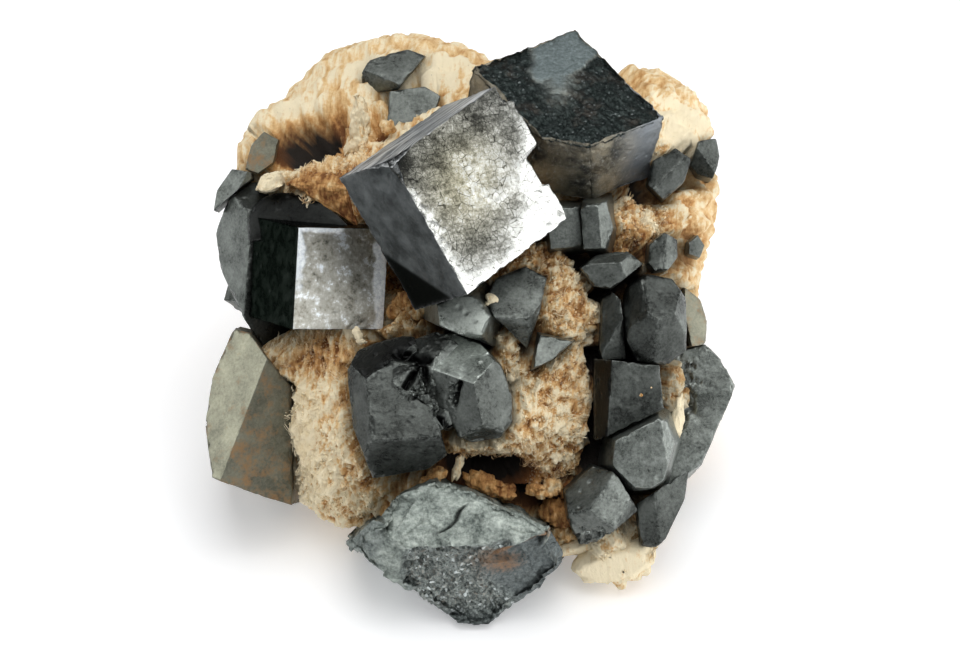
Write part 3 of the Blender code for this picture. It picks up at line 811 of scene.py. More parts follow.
def left_cube_finish():
    """Taupe and grey mottling with bluish white bands of painted reflection on the front, and black
    glassy sides, partly their own black and partly painted shade.
    """
    finish = Finish("mottled_crystal")
    front, bright, wear = finish.attributes("front", "bright", "wear")
    clouds = finish.clouds(1.1, 7, 0.7)
    specks = finish.clouds(4.5, 6, 0.72)
    ground = finish.colours(
        clouds * 0.7 + specks * 0.3,
        (0.36, (0.100, 0.100, 0.085)),
        (0.44, (0.360, 0.350, 0.300)),
        (0.54, (0.520, 0.515, 0.465)),
        (0.61, (0.92, 0.97, 1.00)),
    )
    band = finish.mix(specks.over(0.35, 0.6), (0.62, 0.67, 0.72), (0.96, 1.0, 1.0))
    face = finish.mix(bright, ground, band)
    # the sides: black metal, made darker still as painted shade
    side = finish.mix(clouds.over(0.45, 0.75), (0.013, 0.016, 0.014), (0.036, 0.042, 0.037))
    colour = finish.mix(front, side, face)
    # edges painted paler: partly wear, partly painted highlight
    colour = finish.mix(wear * front * specks.over(0.4, 0.6) * 0.6, colour, (0.5, 0.52, 0.54))
    rough = 0.24 + front * 0.16 + (specks - 0.5) * 0.2
    normal = finish.bump(specks, 0.03)
    tint = (0.4, 0.4, 0.4)
    return finish.metal(colour, 1 - bright * 0.75, rough, normal, specular_tint=tint)


def bottom_crystal_extra(places, edge, outward, depth):
    """A broken lump: smooth above, a band of crushed glittering ground across the middle with
    a crack above it, and smoother ground again at the lower right."""
    ragged = layers(places / 1.4, 4, 83)
    across, up = places[:, 0], places[:, 1]
    shelf = up + 14.1 - 0.12 * across + 0.45 * ragged
    below = ramp(shelf, 0.15, -0.15) * ramp(across + 0.6 * ragged, -5.4, -4.6)
    slope_line = up + 15.6 - 0.62 * (across - 1.2) + 0.2 * ragged
    smooth_right = ramp(slope_line, 0.2, -0.3) * ramp(across + up, -17.5, -15.5)
    crushed = below * (1 - smooth_right) * ramp(up, -20.6, -19.0)
    rough = shards(places / 0.85, 87) + 0.5 * shards(places / 0.35, 88)
    depth = depth + below * 0.45 + crushed * 0.5 * rough + smooth_right * 0.25
    depth += np.exp(-edge / 0.8) * (0.10 + 0.5 * np.abs(ragged))
    depth += 0.35 * shards(places / 3.2, 89) + 0.10 * (1 + layers(places / 0.9, 3, 91))
    depth += 0.9 * spot(places, (-6.6, -12.6), (0.5, 0.9))
    line = across + 0.9 - 1.15 * (up + 11.7) + 0.25 * np.sin(up * 3.1) + 0.15 * ragged
    crack = np.exp(-((line / 0.10) ** 2)) * between(up, -13.3, -11.6, 0.3)
    depth += 0.45 * crack
    stain = np.exp(-((slope_line / 0.30) ** 2)) * between(across, 1.0, 5.0, 0.6)
    stain = np.maximum(stain, 0.7 * spot(places, (1.6, -16.2), (1.6, 0.8)))
    # painted shade: the ground below the shelf and at the left end is made darker
    left_end = ramp(across + 0.5 * ragged, -6.3, -7.1) * ramp(up, -12.0, -12.8)
    below = np.maximum(below, 0.45 * left_end)
    return depth, {"crushed": crushed, "crack": crack, "stain": stain, "below": below}


def broken_finish():
    """Grey-green above; below, darker slate as painted shade, crushed dark ground with painted glints,
    and rusty stains.
    """
    finish = Finish("broken_crystal")
    crushed, crack, below = finish.attributes("crushed", "crack", "below")
    stained, wear = finish.attributes("stain", "wear")
    clouds = finish.clouds(0.8, 7, 0.68)
    specks = finish.clouds(4.5, 7, 0.75)
    smooth = finish.colours(
        clouds * 0.55 + specks * 0.45,
        (0.38, (0.062, 0.076, 0.069)),
        (0.49, (0.240, 0.272, 0.246)),
        (0.63, (0.500, 0.545, 0.495)),
    )
    slate = finish.mix(specks.over(0.38, 0.64), (0.050, 0.060, 0.060), (0.180, 0.205, 0.205))
    # painted shade: darker slate below the shelf and at the left end
    smooth = finish.mix(below * 0.92, smooth, slate)
    glint = finish.glints(5.0)
    dark = finish.mix(specks.over(0.38, 0.66), (0.050, 0.060, 0.056), (0.46, 0.51, 0.48))
    dark = finish.mix(glint.over(0.0, 0.45), (0.060, 0.070, 0.066), dark)
    # painted glints: the brightest cells are painted pale
    dark = finish.mix(glint.over(0.90, 0.98), dark, (0.62, 0.67, 0.66))
    rusty = (stained * 1.2 + crushed * 0.35 + (specks - 0.5) * 2.0).over(0.4, 1.0)
    colour = finish.mix(crushed, smooth, dark)
    colour = finish.mix(rusty * 0.8, colour, (0.27, 0.13, 0.045))
    # painted shade: the crack is painted near black
    colour = finish.mix(crack, colour, (0.01, 0.01, 0.01))
    # edges painted paler: partly wear, partly painted highlight
    colour = finish.mix(wear * specks.over(0.5, 0.62) * 0.3, colour, (0.3, 0.33, 0.34))
    normal = finish.bump(specks, 0.06)
    normal = finish.bump(glint * crushed, 0.08, normal)
    rough = 0.46 - crushed * 0.16 + (specks - 0.5) * 0.25 + rusty * 0.3
    return finish.metal(colour, (0.75 - rusty * 0.6).over(0, 1), rough, normal)


WEATHERED = np.array([1.30, 1.18, 0.95])  # the rusty crystals' colour over the black ones'
CUBES = {
    # name: its finish, its extra and its other settings
    "big_cube": (big_cube_finish, big_cube_extra, {
        "warp": big_cube_warp, "cells": 60, "seed": 2, "grow": 0, "terrace": 0.02,
        "pit_size": 0.8, "chip": 0.18,
    }),
    "dark_cube": (dark_cube_finish, dark_cube_extra, {
        "cells": 54, "seed": 3, "grow": 0.1, "terrace": 0.03, "chip": 0.3,
    }),
    "left_cube": (left_cube_finish, left_cube_extra, {
        "cells": 44, "seed": 4, "grow": 0, "chip": 0.06,
    }),
}
BLACK_CRYSTALS = {
    "centre_left_crystal": {
        "cells": 42, "seed": 5, "chip": 0.3, "terrace": 0.04, "pit": 0.08,
        "painted_facet_light": (((-0.3, 0.75, 0.6), 0.12), ((0, -0.75, 0.65), 0.7)), "cracks": CENTRE_CRACKS,
        "broken": (((-2.6, -2.6, 0), (1.9, 1.3, 9)), ((-3.6, -4.2, 0), (1.2, 1.0, 9))),
        "break_depth": 0.6,
    },
    "upper_middle_crystal": {"seed": 6, "tone": 1.7},
    "rim_crystal_inner": {"seed": 7, "tone": 1.1},
    "rim_crystal_outer": {"seed": 8, "tone": 1.6},
    "right_top_crystal": {"seed": 9, "painted_facet_light": (((0.87, 0.2, 0.4), 2.0),)},
    "right_long_crystal": {
        "seed": 10, "cells": 28, "tone": 1.35, "painted_facet_light": (((-0.85, 0, 0.5), 0.08),),
    },
    "right_lower_crystal": {"seed": 11, "tone": 1.2},
    "far_right_crystal": {
        "seed": 12, "cells": 28, "terrace": 0.05, "chip": 0.3, "tone": 3.1,
        "broken": (((13.6, -4.4, -5), (1.4, 2.4, 9)),),
    },
    "back_crystal_upper": {"seed": 13},
    "back_crystal_middle": {"seed": 14},
}
SLATE_CRYSTALS = {
    "centre_right_crystal": {
        "cells": 40, "seed": 15, "terrace": 0.03, "chip": 0.25,
        "painted_facet_light": (((-0.15, 0.66, 0.73), 4.5),), "cracks": CENTRE_CRACKS,
        "broken": (((-1.9, -4.6, 0), (0.6, 1.2, 9)),),
    },
    "hexagon_crystal": {"seed": 16, "tone": 2.6},
    "small_triangle_crystal": {"seed": 17, "tone": 1.5},
    "cleft_crystal_left": {"seed": 18, "tone": 1.5},
    "cleft_crystal_right": {"seed": 19, "tone": 1.4},
    "wedge_crystal": {"seed": 20, "tone": 1.1},
    "nub_crystal": {"seed": 21, "tone": 1.2},
    "edge_nub_crystal": {"seed": 22, "cells": 12},
    "right_left_crystal": {"seed": 23, "tone": 0.8},
    "right_hexagon_crystal": {"seed": 24, "cells": 28, "tone": 2.3, "grow": 0.0},
    "left_rim_crystal": {"seed": 25, "cells": 22, "tone": 0.6, "painted_facet_light": (((-0.7, 0, 0.7), 2.6),)},
    "left_edge_crystal": {"seed": 26, "tone": 1.6},
    "top_crystal_front": {"seed": 27, "tone": 1.2},
    "top_crystal_back": {"seed": 28, "tone": 1.1},
    "small_low_crystal": {
        "cells": 26, "seed": 35, "pit": 0.1, "tone": 1.1, "painted_facet_light": (((0.37, -0.1, 0.92), 1.8),),
        "broken": (((7.6, -14.0, 0), (1.6, 0.8, 9)),),
    },
    "back_crystal_lower": {"seed": 29},
    "back_crystal_right": {"seed": 30},
    "back_crystal_left": {"seed": 31},
}
RUSTY_CRYSTALS = {
    "left_lower_crystal": {
        "cells": 30, "seed": 32, "terrace": 0.03, "chip": 0.3, "tone": 1.5,
        "painted_facet_light": (((-0.61, 0.2, 0.75), 2.3),),
    },
    "right_edge_crystal": {"seed": 33, "tone": 2.2},
    "left_wedge_crystal": {"seed": 34, "tone": 1.8},
}
EXTRA_CRYSTALS = {
    # name: outline on the display face, front planes, how far out its back lies, and changes
    "rim_arch": (
        (
            (-15.7, 5.8), (-8.6, 6.9), (-9.5, 7.9), (-10.8, 8.8), (-12.3, 9.4), (-13.8, 9.4),
            (-15.1, 8.9), (-15.8, 7.8),
        ),
        (((-0.28, 0.3, 0.92), (-12.2, 8.4, -2.1)),),
        -7.0, {"cells": 24, "seed": 41, "tone": 0.13, "wear": 12},
    ),
    "centre_join": (
        (
            (-5.7, -2.1), (-5.6, -3.8), (-4.7, -6.1), (-3.3, -6.9), (-1.9, -6.4), (-1.1, -4.8),
            (-0.7, -2.9), (-1.2, -1.1), (-2.9, -0.3), (-5.0, -1.0),
        ),
        (
            ((0.05, 0.2, 1.0), (-3.4, -3.4, 4.3)), ((-0.35, -0.45, 0.85), (-3.9, -5.4, 4.2)),
            ((0.5, 0.1, 0.85), (-1.7, -4.0, 3.5)), ((-0.2, 0.6, 0.75), (-3.6, -1.4, 3.4)),
        ),
        -1.0,
        {
            "cells": 34, "seed": 43, "tone": 1.5, "chip": 0.3, "terrace": 0.05,
            "broken": (((-3.4, -4.4, 0), (2.0, 2.0, 9)),), "break_depth": 0.7,
            "cracks": CENTRE_CRACKS, "painted_facet_light": (((-0.2, 0.6, 0.75), 0.3),),
        },
    ),
}
STONE_SLABS = {
    # the same for plates of matrix, with how pale and how rusty each is instead of changes
    "ridge_wedge": (
        ((-12.9, 9.8), (-8.1, 6.6), (-8.5, 8.6), (-9.3, 10.8), (-11.2, 10.7)),
        (((-0.1, -0.1, 1.0), (-10.2, 9.2, -1.5)), ((0, 0.7, 0.7), (-10.6, 10.2, -1.9))), -7.0,
        0.0, 1.0,
    ),
    "cream_chip": (
        ((-15.2, 9.4), (-14.4, 9.1), (-13.2, 9.7), (-13.4, 10.6), (-14.6, 10.5)),
        (((0, 0.2, 1.0), (-14.2, 9.9, -1.9)),), -7.0, 0.9, 0.0,
    ),
    "top_blade": (
        ((-9.3, 11.9), (-8.1, 12.1), (-7.3, 13.4), (-7.6, 15.5), (-8.5, 16.0), (-9.0, 14.2)),
        (((-0.3, -0.2, 0.9), (-8.2, 14.0, -4.6)), ((0.7, 0.1, 0.7), (-7.6, 14.0, -4.9))), -9.0,
        0.45, 0.0,
    ),
}
STONE_LUMPS = (
    # middle, radii, turn on the display face in degrees, how pale, how rusty and how rough
    ((9.1, -15.6, -3.5), (2.8, 1.65, 2.1), 12, 0.75, 0.0, 0.16),
    ((5.8, -13.7, -3.6), (1.0, 0.8, 1.0), 0, 0.2, 0.6, 0.45),
    ((5.3, -12.4, -2.6), (1.1, 1.0, 1.0), 0, 0.0, 1.0, 0.45),
    ((6.1, -11.0, -2.4), (0.8, 0.8, 0.8), 0, 0.0, 1.0, 0.45),
    ((-3.1, -9.9, -0.6), (0.8, 0.5, 0.7), 25, 0.1, 0.6, 0.45),
    ((-1.5, -9.2, -0.6), (0.32, 0.8, 0.6), -15, 0.6, 0.2, 0.45),
    ((0.2, -10.3, -1.0), (1.3, 0.6, 0.7), -20, 0.1, 0.6, 0.50),
    ((1.6, -10.9, -1.2), (0.8, 0.5, 0.7), 0, 0.0, 0.8, 0.50),
    ((3.9, -10.9, -1.2), (0.8, 0.4, 0.7), -20, 0.1, 0.7, 0.45),
    ((4.9, -10.6, -1.4), (0.6, 0.5, 0.7), 0, 0.2, 0.5, 0.45),
    ((7.4, -14.6, -3.3), (2.3, 0.6, 1.0), 14, 0.8, 0.3, 0.25),
    ((13.3, -6.2, -4.3), (0.55, 2.0, 1.0), -8, 0.9, 0.0, 0.30),
    ((12.7, -4.6, -4.3), (0.5, 0.7, 0.9), 0, 0.5, 0.2, 0.40),
    ((1.8, -7.9, -0.6), (1.4, 0.42, 0.8), 8, 0.7, 0.0, 0.30),
    ((-8.15, -0.35, 0.7), (0.30, 0.50, 0.3), 20, 1.6, 0.0, 0.40),
    ((-7.9, -0.85, 0.6), (0.38, 0.20, 0.3), 0, 1.6, 0.0, 0.40),
    ((0.75, 1.95, 2.8), (0.48, 0.34, 0.4), -10, 0.8, 0.1, 0.35),
    ((0.45, 1.65, 2.8), (0.22, 0.18, 0.3), 0, 0.6, 0.2, 0.35),
    ((10.6, -4.4, 1.95), (0.15, 0.12, 0.15), 0, 0.2, 0.6, 0.30),
    ((11.3, -3.9, 1.95), (0.08, 0.08, 0.10), 0, 0.5, 0.2, 0.30),
    ((-6.3, -3.8, 4.0), (0.22, 0.07, 0.08), 0, 1.6, 0.0, 0.20),
    ((-6.2, -6.7, 4.0), (0.16, 0.09, 0.10), 0, 1.6, 0.0, 0.20),
    ((-4.9, 1.8, -0.6), (0.75, 0.55, 0.7), 10, 0.0, 0.7, 0.45),
    ((-4.0, 1.2, -0.4), (0.60, 0.50, 0.6), 30, 0.3, 0.3, 0.45),
    ((-5.7, 1.2, -0.8), (0.50, 0.45, 0.6), 0, 0.0, 0.8, 0.45),
    ((-6.3, 13.7, -4.6), (0.50, 0.60, 0.5), 30, 0.2, 0.7, 0.35),
)


# The matrix -----------------------------------------------------------------------------------

MATRIX_MARKS = ("hollow", "soft", "pale", "rusty", "deep")
MATRIX_MIDDLE = np.array([0.0, 0.0, -12.0])
NEEDLES_A_TUFT = 14
NEEDLE_RINGS = np.array([-0.5, -0.18, 0.18, 0.5])  # shares of its length from its middle
NEEDLE_WIDTHS = np.array([0.35, 1.0, 0.9, 0.12])  # shares of its radius at those rings
GRAIN_SIZES = (0.04, 0.17)
BODY_CELLS = 128
DEPTH_CELLS = 50
FACE_CELLS = 296
FACE_SPREAD = 1.75  # how far the front's directions lean from straight out, at their edge
FACE_SHARE = 0.995  # how much of that the finer face covers
FACE_TUCK = 0.25  # how far below it the body lies, in millimetres
FIBRE_LEAN = math.radians(14)
FACE_DEPTH = -9  # what lies further back than this, out on the display face, is plain rock
BATCH = 8192  # directions worked out at a time, to save memory
HOLLOWS = (
    # a place across and up the display face, its size, and how deep it goes
    ((0.3, -7.8), (2.1, 1.0), 5.5), ((3.4, -10.4), (1.5, 0.9), 3.4),
    ((-10.5, 11.2), (2.0, 1.2), 4.8), ((-12.2, 11.5), (1.5, 1.2), 2.2),
    ((-9.4, 13.9), (0.6, 1.5), 1.5), ((5.4, -11.2), (0.7, 0.6), 1.8),
    ((7.7, -5.4), (0.45, 3.2), 1.8), ((-4.9, 3.2), (1.3, 1.2), 1.8),
    ((-7.3, -1.4), (0.7, 0.5), 0.9), ((-6.6, 13.0), (0.5, 0.8), 1.6),
)
SWELLS = (
    # the same, for what stands proud
    ((-13.4, -1.7), (1.3, 1.3), 2.2),
    ((-4.6, 1.5), (0.6, 0.5), 0.6),
)
PALE_PLACES = (
    ((-11.6, -8.6), (2.4, 3.0)), ((9.0, -15.6), (2.0, 1.4)), ((14.5, 14.0), (3.2, 2.6)),
    ((-6.0, 18.5), (6.5, 1.6)), ((-13.4, 15.2), (2.0, 2.4)), ((13.8, -6.6), (0.9, 1.6)),
    ((1.0, -7.5), (1.2, 0.6)), ((2.2, -5.0), (0.8, 2.2)), ((-8.0, -0.6), (0.6, 0.5)),
)
RUSTY_PLACES = (
    ((-10.4, 10.0), (2.4, 1.2)), ((-11.2, 12.6), (2.6, 1.4)), ((-9.8, -1.9), (3.2, 1.2)),
    ((-8.6, -3.6), (0.9, 2.4)), ((3.6, -11.2), (3.6, 1.3)), ((-4.2, 1.6), (2.0, 1.2)),
    ((7.0, -12.6), (2.0, 1.0)), ((-7.6, -7.6), (1.0, 1.6)), ((9.8, 5.0), (2.0, 2.2)),
)
# places where the matrix is painted in shadow
PAINTED_SHADOW_PLACES = (
    ((10.6, -3.0), (2.6, 4.6)), ((9.6, -10.0), (2.4, 3.0)), ((-14.0, 4.0), (2.4, 4.6)),
)


def box_grid(wide, deep):
    """Points of a closed box from -1 to 1 on each axis, and its square faces, turned outwards."""
    points, faces = [], []
    for axis, sign in itertools.product(range(3), (-1, 1)):
        first, second = [other for other in range(3) if other != axis]
        counts = [deep if other == 2 else wide for other in (first, second)]
        u, v = np.meshgrid(
            np.linspace(-1, 1, counts[0] + 1), np.linspace(-1, 1, counts[1] + 1), indexing="ij"
        )
        sheet = np.full(u.shape + (3,), float(sign))
        sheet[..., first] = u
        sheet[..., second] = v
        index = np.arange(u.size).reshape(u.shape) + sum(len(part) for part in points)
        quads = np.stack(
            [index[:-1, :-1], index[1:, :-1], index[1:, 1:], index[:-1, 1:]], axis=-1
        ).reshape(-1, 4)
        outwards = sign * (1 if (first, second) in ((0, 1), (1, 2)) else -1)
        faces.append(quads if outwards > 0 else quads[:, ::-1])
        points.append(sheet.reshape(-1, 3))
    return weld(np.concatenate(points), np.concatenate(faces), 1e-6)


def crystal_planes():
    """The planes of every crystal, in the display frame and millimetres."""
    planes = []
    for name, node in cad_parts.items():
        if name == "matrix":
            continue
        normals, reaches = facets_of(node)
        reaches = (reaches - normals @ display_middle) / MM
        planes.append((normals @ DISPLAY_AXES.T, reaches))
    return planes


def outside_crystals(places, planes):
    """How far each place is outside the nearest crystal and the next, in millimetres: below 0 is
    inside one."""
    nearest = np.full(len(places), np.inf)
    second = nearest.copy()
    for normals, reaches in planes:
        away = (places @ normals.T - reaches).max(axis=1)
        second = np.where(away < nearest, nearest, np.minimum(second, away))
        nearest = np.minimum(nearest, away)
    return nearest, second


def under_crystals(directions, planes):
    """How far from the matrix's middle each direction leaves the crystal it passes through: the
    nearest of the planes it leaves by, if it has entered by all of the others. Infinite if none."""
    limit = np.full(len(directions), np.inf)
    for normals, reaches in planes:
        speed = directions @ normals.T
        distance = (reaches - normals @ MATRIX_MIDDLE) / np.where(np.abs(speed) < 1e-9, 1e-9, speed)
        leave = np.where(speed > 0, distance, np.inf).min(axis=1)
        enter = np.where(speed <= 0, distance, -np.inf).max(axis=1)
        hit = (enter < leave) & (leave > 0)
        limit = np.where(hit, np.minimum(limit, leave), limit)
    return limit


def matrix_reach(directions, planes):
    """How far the matrix reaches from its middle: the reach of its node's own outer points,
    weighted by one over the sixth power of the angle, so that its sockets are bridged."""
    points = read(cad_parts["matrix"].data.vertices, "co", 3)
    points = np.unique(np.round(points, 6), axis=0)
    above_floor = points[:, 2] > 0.3 * MM
    places = on_display(points)
    outer = above_floor & (outside_crystals(places, planes)[0] > 0.4)
    known = places[outer] - MATRIX_MIDDLE
    reach = np.linalg.norm(known, axis=1)
    known /= reach[:, None]
    found = np.empty(len(directions))
    for start in range(0, len(directions), BATCH):
        part = slice(start, start + BATCH)
        gap = 2 - 2 * directions[part] @ known.T
        weight = (gap + 0.0007) ** -3
        found[part] = weight @ reach / weight.sum(axis=1)
    return found


def turned(angle):
    """The matrix that turns rows of places by an angle on the display face, anticlockwise."""
    across, up = math.cos(angle), math.sin(angle)
    return np.array([[across, up, 0], [-up, across, 0], [0, 0, 1.0]])


def fibre_places(places, size):
    """Places bent by slow noise and squeezed across the fibres, for noise drawn out along them."""
    bent = places + 1.3 * np.stack([noise(places / 4.5, 101 + i) for i in range(3)], axis=-1)
    return bent @ turned(FIBRE_LEAN) / np.array(size)


def matrix_surface(directions, planes):
    """Places of the finished matrix surface in these directions, and its attributes."""
    base = MATRIX_MIDDLE + directions * matrix_reach(directions, planes)[:, None]
    matrix = bpy.context.scene.specimen_matrix
    soft = ramp(base[:, 2], -5.0, -8.5) * 0.6
    lumps = layers(base / 2.1, 4, 111)
    fibres = 1 - 2 * np.abs(noise(fibre_places(base, (0.2, 1.5, 0.45)), 121))
    strands = 1 - 2 * np.abs(noise(fibre_places(base, (0.45, 2.4, 0.9)), 127))
    crumbs = shards(base / 0.55, 131) + 0.5 * shards(base / 0.26, 133) - 0.45
    granular = ramp(layers(base / 5.0, 2, 137) + 0.35 * np.sign(base[:, 0] - 0.5), -0.3, 0.3)
    fine = layers(base / 0.4, 4, 141)
    texture = (1 - granular) * (0.45 * fibres + 0.85 * strands)
    texture += granular * (1.5 * crumbs + 0.35 * strands) + 0.5 * fine
    relief = matrix.relief / MM * lumps * (1 - 0.5 * soft) + 0.30 * texture * (1 - soft)
    on_face = base[:, 2] > FACE_DEPTH
    pits = 0
    for middle, size, depth in HOLLOWS:
        sunk = base - directions * depth * 0.7
        pits = np.maximum(pits, depth * spot(sunk, middle, size) * on_face)
    swells = sum(height * spot(base, middle, size) for middle, size, height in SWELLS) * on_face
    gap, next_gap = outside_crystals(base, planes)
    moat = np.exp(-((np.maximum(gap, 0) / 0.5) ** 2)) * ramp(layers(base / 2.2, 2, 151), -0.9, 0.5)
    crowd = np.exp(-((np.maximum(next_gap, 0) / 0.8) ** 2))
    sink = 0.9 * moat + 2.2 * crowd
    reach = np.linalg.norm(base - MATRIX_MIDDLE, axis=1) + relief - sink - pits * (1 + 0.3 * lumps)
    reach += swells
    limit = under_crystals(directions, planes)
    bare = limit > reach - np.where(on_face, 0.9, 1.25)
    reach = np.where(bare, np.minimum(reach, limit - 0.4), reach)
    places = MATRIX_MIDDLE + directions * reach[:, None]
    # painted shadow: the shadow places, the hollows' pits, the gaps round the crystals and where
    # crystals crowd darken towards black
    dark = 0.9 * most(base, PAINTED_SHADOW_PLACES) * on_face
    shadow = ramp(pits, 0.9, 2.4) + crowd * 0.85 + 0.45 * moat + dark
    return places, {
        # browner where the surface lies low and in the gaps round the crystals: partly staining, partly
        # painted shade
        "hollow": ramp(0.25 - texture + 0.5 * moat, -0.6, 1.1),
        "soft": soft,
        "pale": most(base, PALE_PLACES) * on_face,
        # also browner the deeper the hollows' pits go: partly staining, partly painted shade
        "rusty": np.maximum(most(base, RUSTY_PLACES) * on_face, 1.7 * ramp(pits, 0.2, 1.4)),
        # deep carries that painted shadow
        "deep": np.clip(shadow, 0, 1),
    }


def matrix_body(planes):
    """The whole matrix as one closed mesh, flat where it stands on the floor, and a little lower
    where the finer face covers it."""
    points, faces = box_grid(BODY_CELLS, DEPTH_CELLS)
    directions = unit(points * np.array([FACE_SPREAD, FACE_SPREAD, 1.0]))
    places, marks = matrix_surface(directions, planes)
    inner = ramp(np.abs(points[:, :2]).max(axis=1), 1.0, 0.96) * (points[:, 2] > 0.5)
    return places - directions * (FACE_TUCK * inner)[:, None], faces, marks


def matrix_face(planes):
    """The finer face: a square grid of directions about the display face's own, closed by a cone
    to the matrix's middle."""
    steps = np.linspace(-FACE_SPREAD, FACE_SPREAD, FACE_CELLS + 1) * FACE_SHARE
    across, up = np.meshgrid(steps, steps, indexing="ij")
    directions = unit(np.stack([across, up, np.ones_like(up)], axis=-1).reshape(-1, 3))
    places, marks = matrix_surface(directions, planes)
    index = np.arange(len(places)).reshape(across.shape)
    here, right, both, over = index[:-1, :-1], index[1:, :-1], index[1:, 1:], index[:-1, 1:]
    sheet = [np.stack([here, right, both], -1), np.stack([here, both, over], -1)]
    rim = np.concatenate([index[:-1, 0], index[-1, :-1], index[:0:-1, -1], index[0, :0:-1]])
    cone = np.stack([np.roll(rim, -1), rim, np.full(len(rim), len(places))], axis=1)
    faces = np.concatenate([part.reshape(-1, 3) for part in sheet] + [cone])
    places = np.concatenate([places, MATRIX_MIDDLE[None]])
    marks = {label: np.append(values, 0) for label, values in marks.items()}
    return places, faces, marks


def on_floor(places):
    """World points of places, none lower than the floor or outside the matrix's node."""
    low, high = (np.array(corner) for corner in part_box("matrix"))
    return np.clip(from_display(places), low, high)


def matrix_finish(name, brighter=0.0):
    """Cream where it stands proud, tan between, and orange-brown in its crevices, partly its own
    staining and partly painted shade;
    painted shadow, near black, in its hollows and gaps. brighter is how far it turns to the palest
    colour."""
    matrix = bpy.context.scene.specimen_matrix
    finish = Finish(name)
    hollow, soft, pale, rusty, deep = finish.attributes(*MATRIX_MARKS)
    clouds = finish.clouds(0.28, 5, 0.6)
    patches = finish.clouds(1.0, 6, 0.7)
    specks = finish.clouds(4.2, 7, 0.75)
    threads = finish.clouds(1.0, 4, 0.6, finish.stretched((3.6, 0.55, 1.0), (0.66, 0.0, 0.25)))
    # hollow browns the low places and the gaps round the crystals: partly staining, partly painted
    # shade
    shade = hollow * 0.66 + rusty * 0.50 - pale * 0.52 + (clouds - 0.5) * 0.8
    shade = shade + (patches - 0.5) * 0.6 + (specks - 0.5) * 0.9 + (threads - 0.5) * 1.5
    shade = shade * (1 - soft * 0.7) + soft * 0.20
    colour = finish.colours(
        shade,
        (0.02, matrix.white), (0.24, matrix.cream), (0.52, matrix.tan), (0.90, matrix.brown),
    )
    dots = finish.clouds(3.0, 5, 0.8).over(0.64, 0.72)
    colour = finish.mix(dots * 0.6, colour, (0.05, 0.035, 0.022))
    if brighter:
        colour = finish.mix(brighter, colour, matrix.white)
    # painted shadow: near black where deep says
    colour = finish.mix((deep * 1.15).over(0.05, 1.0), colour, (0.010, 0.006, 0.003))
    normal = finish.bump(specks * 0.45 + threads * 0.55, 0.24)
    return finish.set(base_color=colour, roughness=0.85, normal=normal)


def surface_samples(count, chance):
    """Random points of the matrix face that no crystal covers, their outward directions and their
    attributes, in the display frame."""
    mesh = bpy.data.objects["matrix_face"].data
    centres, normals = read(mesh.polygons, "center", 3), read(mesh.polygons, "normal", 3)
    areas = read(mesh.polygons, "area")
    corners = read(mesh.loops, "vertex_index", kind=np.int32)[::3]
    marks = {}
    for label in MATRIX_MARKS:
        marks[label] = read(mesh.attributes[label].data, "value", kind=np.float32)[corners]
    places = on_display(centres)
    clear = outside_crystals(places, crystal_planes())[0]
    sheet = np.linalg.norm(places - MATRIX_MIDDLE, axis=1) > 5
    weight = areas * (clear > 0.02) * sheet * (centres[:, 2] > 0.6 * MM)
    weight = weight * (1 - marks["soft"] * 1.4) * (marks["deep"] < 0.25)
    picked = chance.choice(len(centres), count, p=weight / weight.sum())
    marks = {label: values[picked] for label, values in marks.items()}
    return places[picked], normals[picked] @ DISPLAY_AXES.T, marks


def needles(count, seed):
    """Tufts of thin three-sided spindles: each spindle is four rings of a triangle, bent a little,
    spread about the direction of its tuft, which lies along the fibres and lifts off the rock."""
    chance = np.random.default_rng(seed)
    tufts = count // NEEDLES_A_TUFT
    count = tufts * NEEDLES_A_TUFT
    middles, outward, marks = surface_samples(tufts, chance)
    swing = noise(middles / 3.0, 161) + FIBRE_LEAN + chance.normal(0, 0.5, tufts)
    lead = np.stack([np.sin(swing), np.cos(swing), chance.normal(0, 0.2, tufts)], axis=1)
    lead = lead + outward * np.abs(chance.normal(0.08, 0.18, tufts))[:, None]
    share = np.repeat(np.arange(tufts), NEEDLES_A_TUFT)
    middles = middles[share] + chance.normal(0, 0.16, (count, 3))
    outward = outward[share]
    marks = {label: values[share] for label, values in marks.items()}
    marks["hollow"] = np.clip(marks["hollow"] + chance.normal(-0.25, 0.25, count), 0, 1)
    lead = lead[share] + chance.normal(0, 0.22, (count, 3))
    lift = (lead * outward).sum(axis=1)[:, None]
    along = unit(lead - lift * outward)
    across = np.cross(outward, along)
    along = unit(along + outward * np.clip(lift, -0.1, 0.8))
    usual = bpy.context.scene.specimen_matrix.needle_length / MM
    reach = usual * chance.uniform(0.3, 1.1, count) * (1 - 0.5 * marks["soft"])
    radius = chance.uniform(0.014, 0.036, count)
    bow = chance.normal(0.02, 0.06, count)
    turns = np.arange(3) * 2 * math.pi / 3
    middle = middles[:, None, :] + along[:, None, :] * (NEEDLE_RINGS * reach[:, None])[..., None]
    middle += outward[:, None, :] * (bow[:, None] * (1 - 4 * NEEDLE_RINGS**2))[..., None]
    ring = (
        across[:, None, None, :] * np.cos(turns)[:, None]
        + outward[:, None, None, :] * np.sin(turns)[:, None]
    ) * (radius[:, None] * NEEDLE_WIDTHS)[..., None, None]
    points = (middle[:, :, None, :] + ring).reshape(count, 12, 3)
    sides = []
    for level, turn in itertools.product(range(3), range(3)):
        here, there = level * 3 + turn, level * 3 + (turn + 1) % 3
        sides += [(here, there, here + 3), (there, there + 3, here + 3)]
    pattern = np.array(sides + [(0, 2, 1), (9, 10, 11)])
    return repeated(points, pattern, marks)


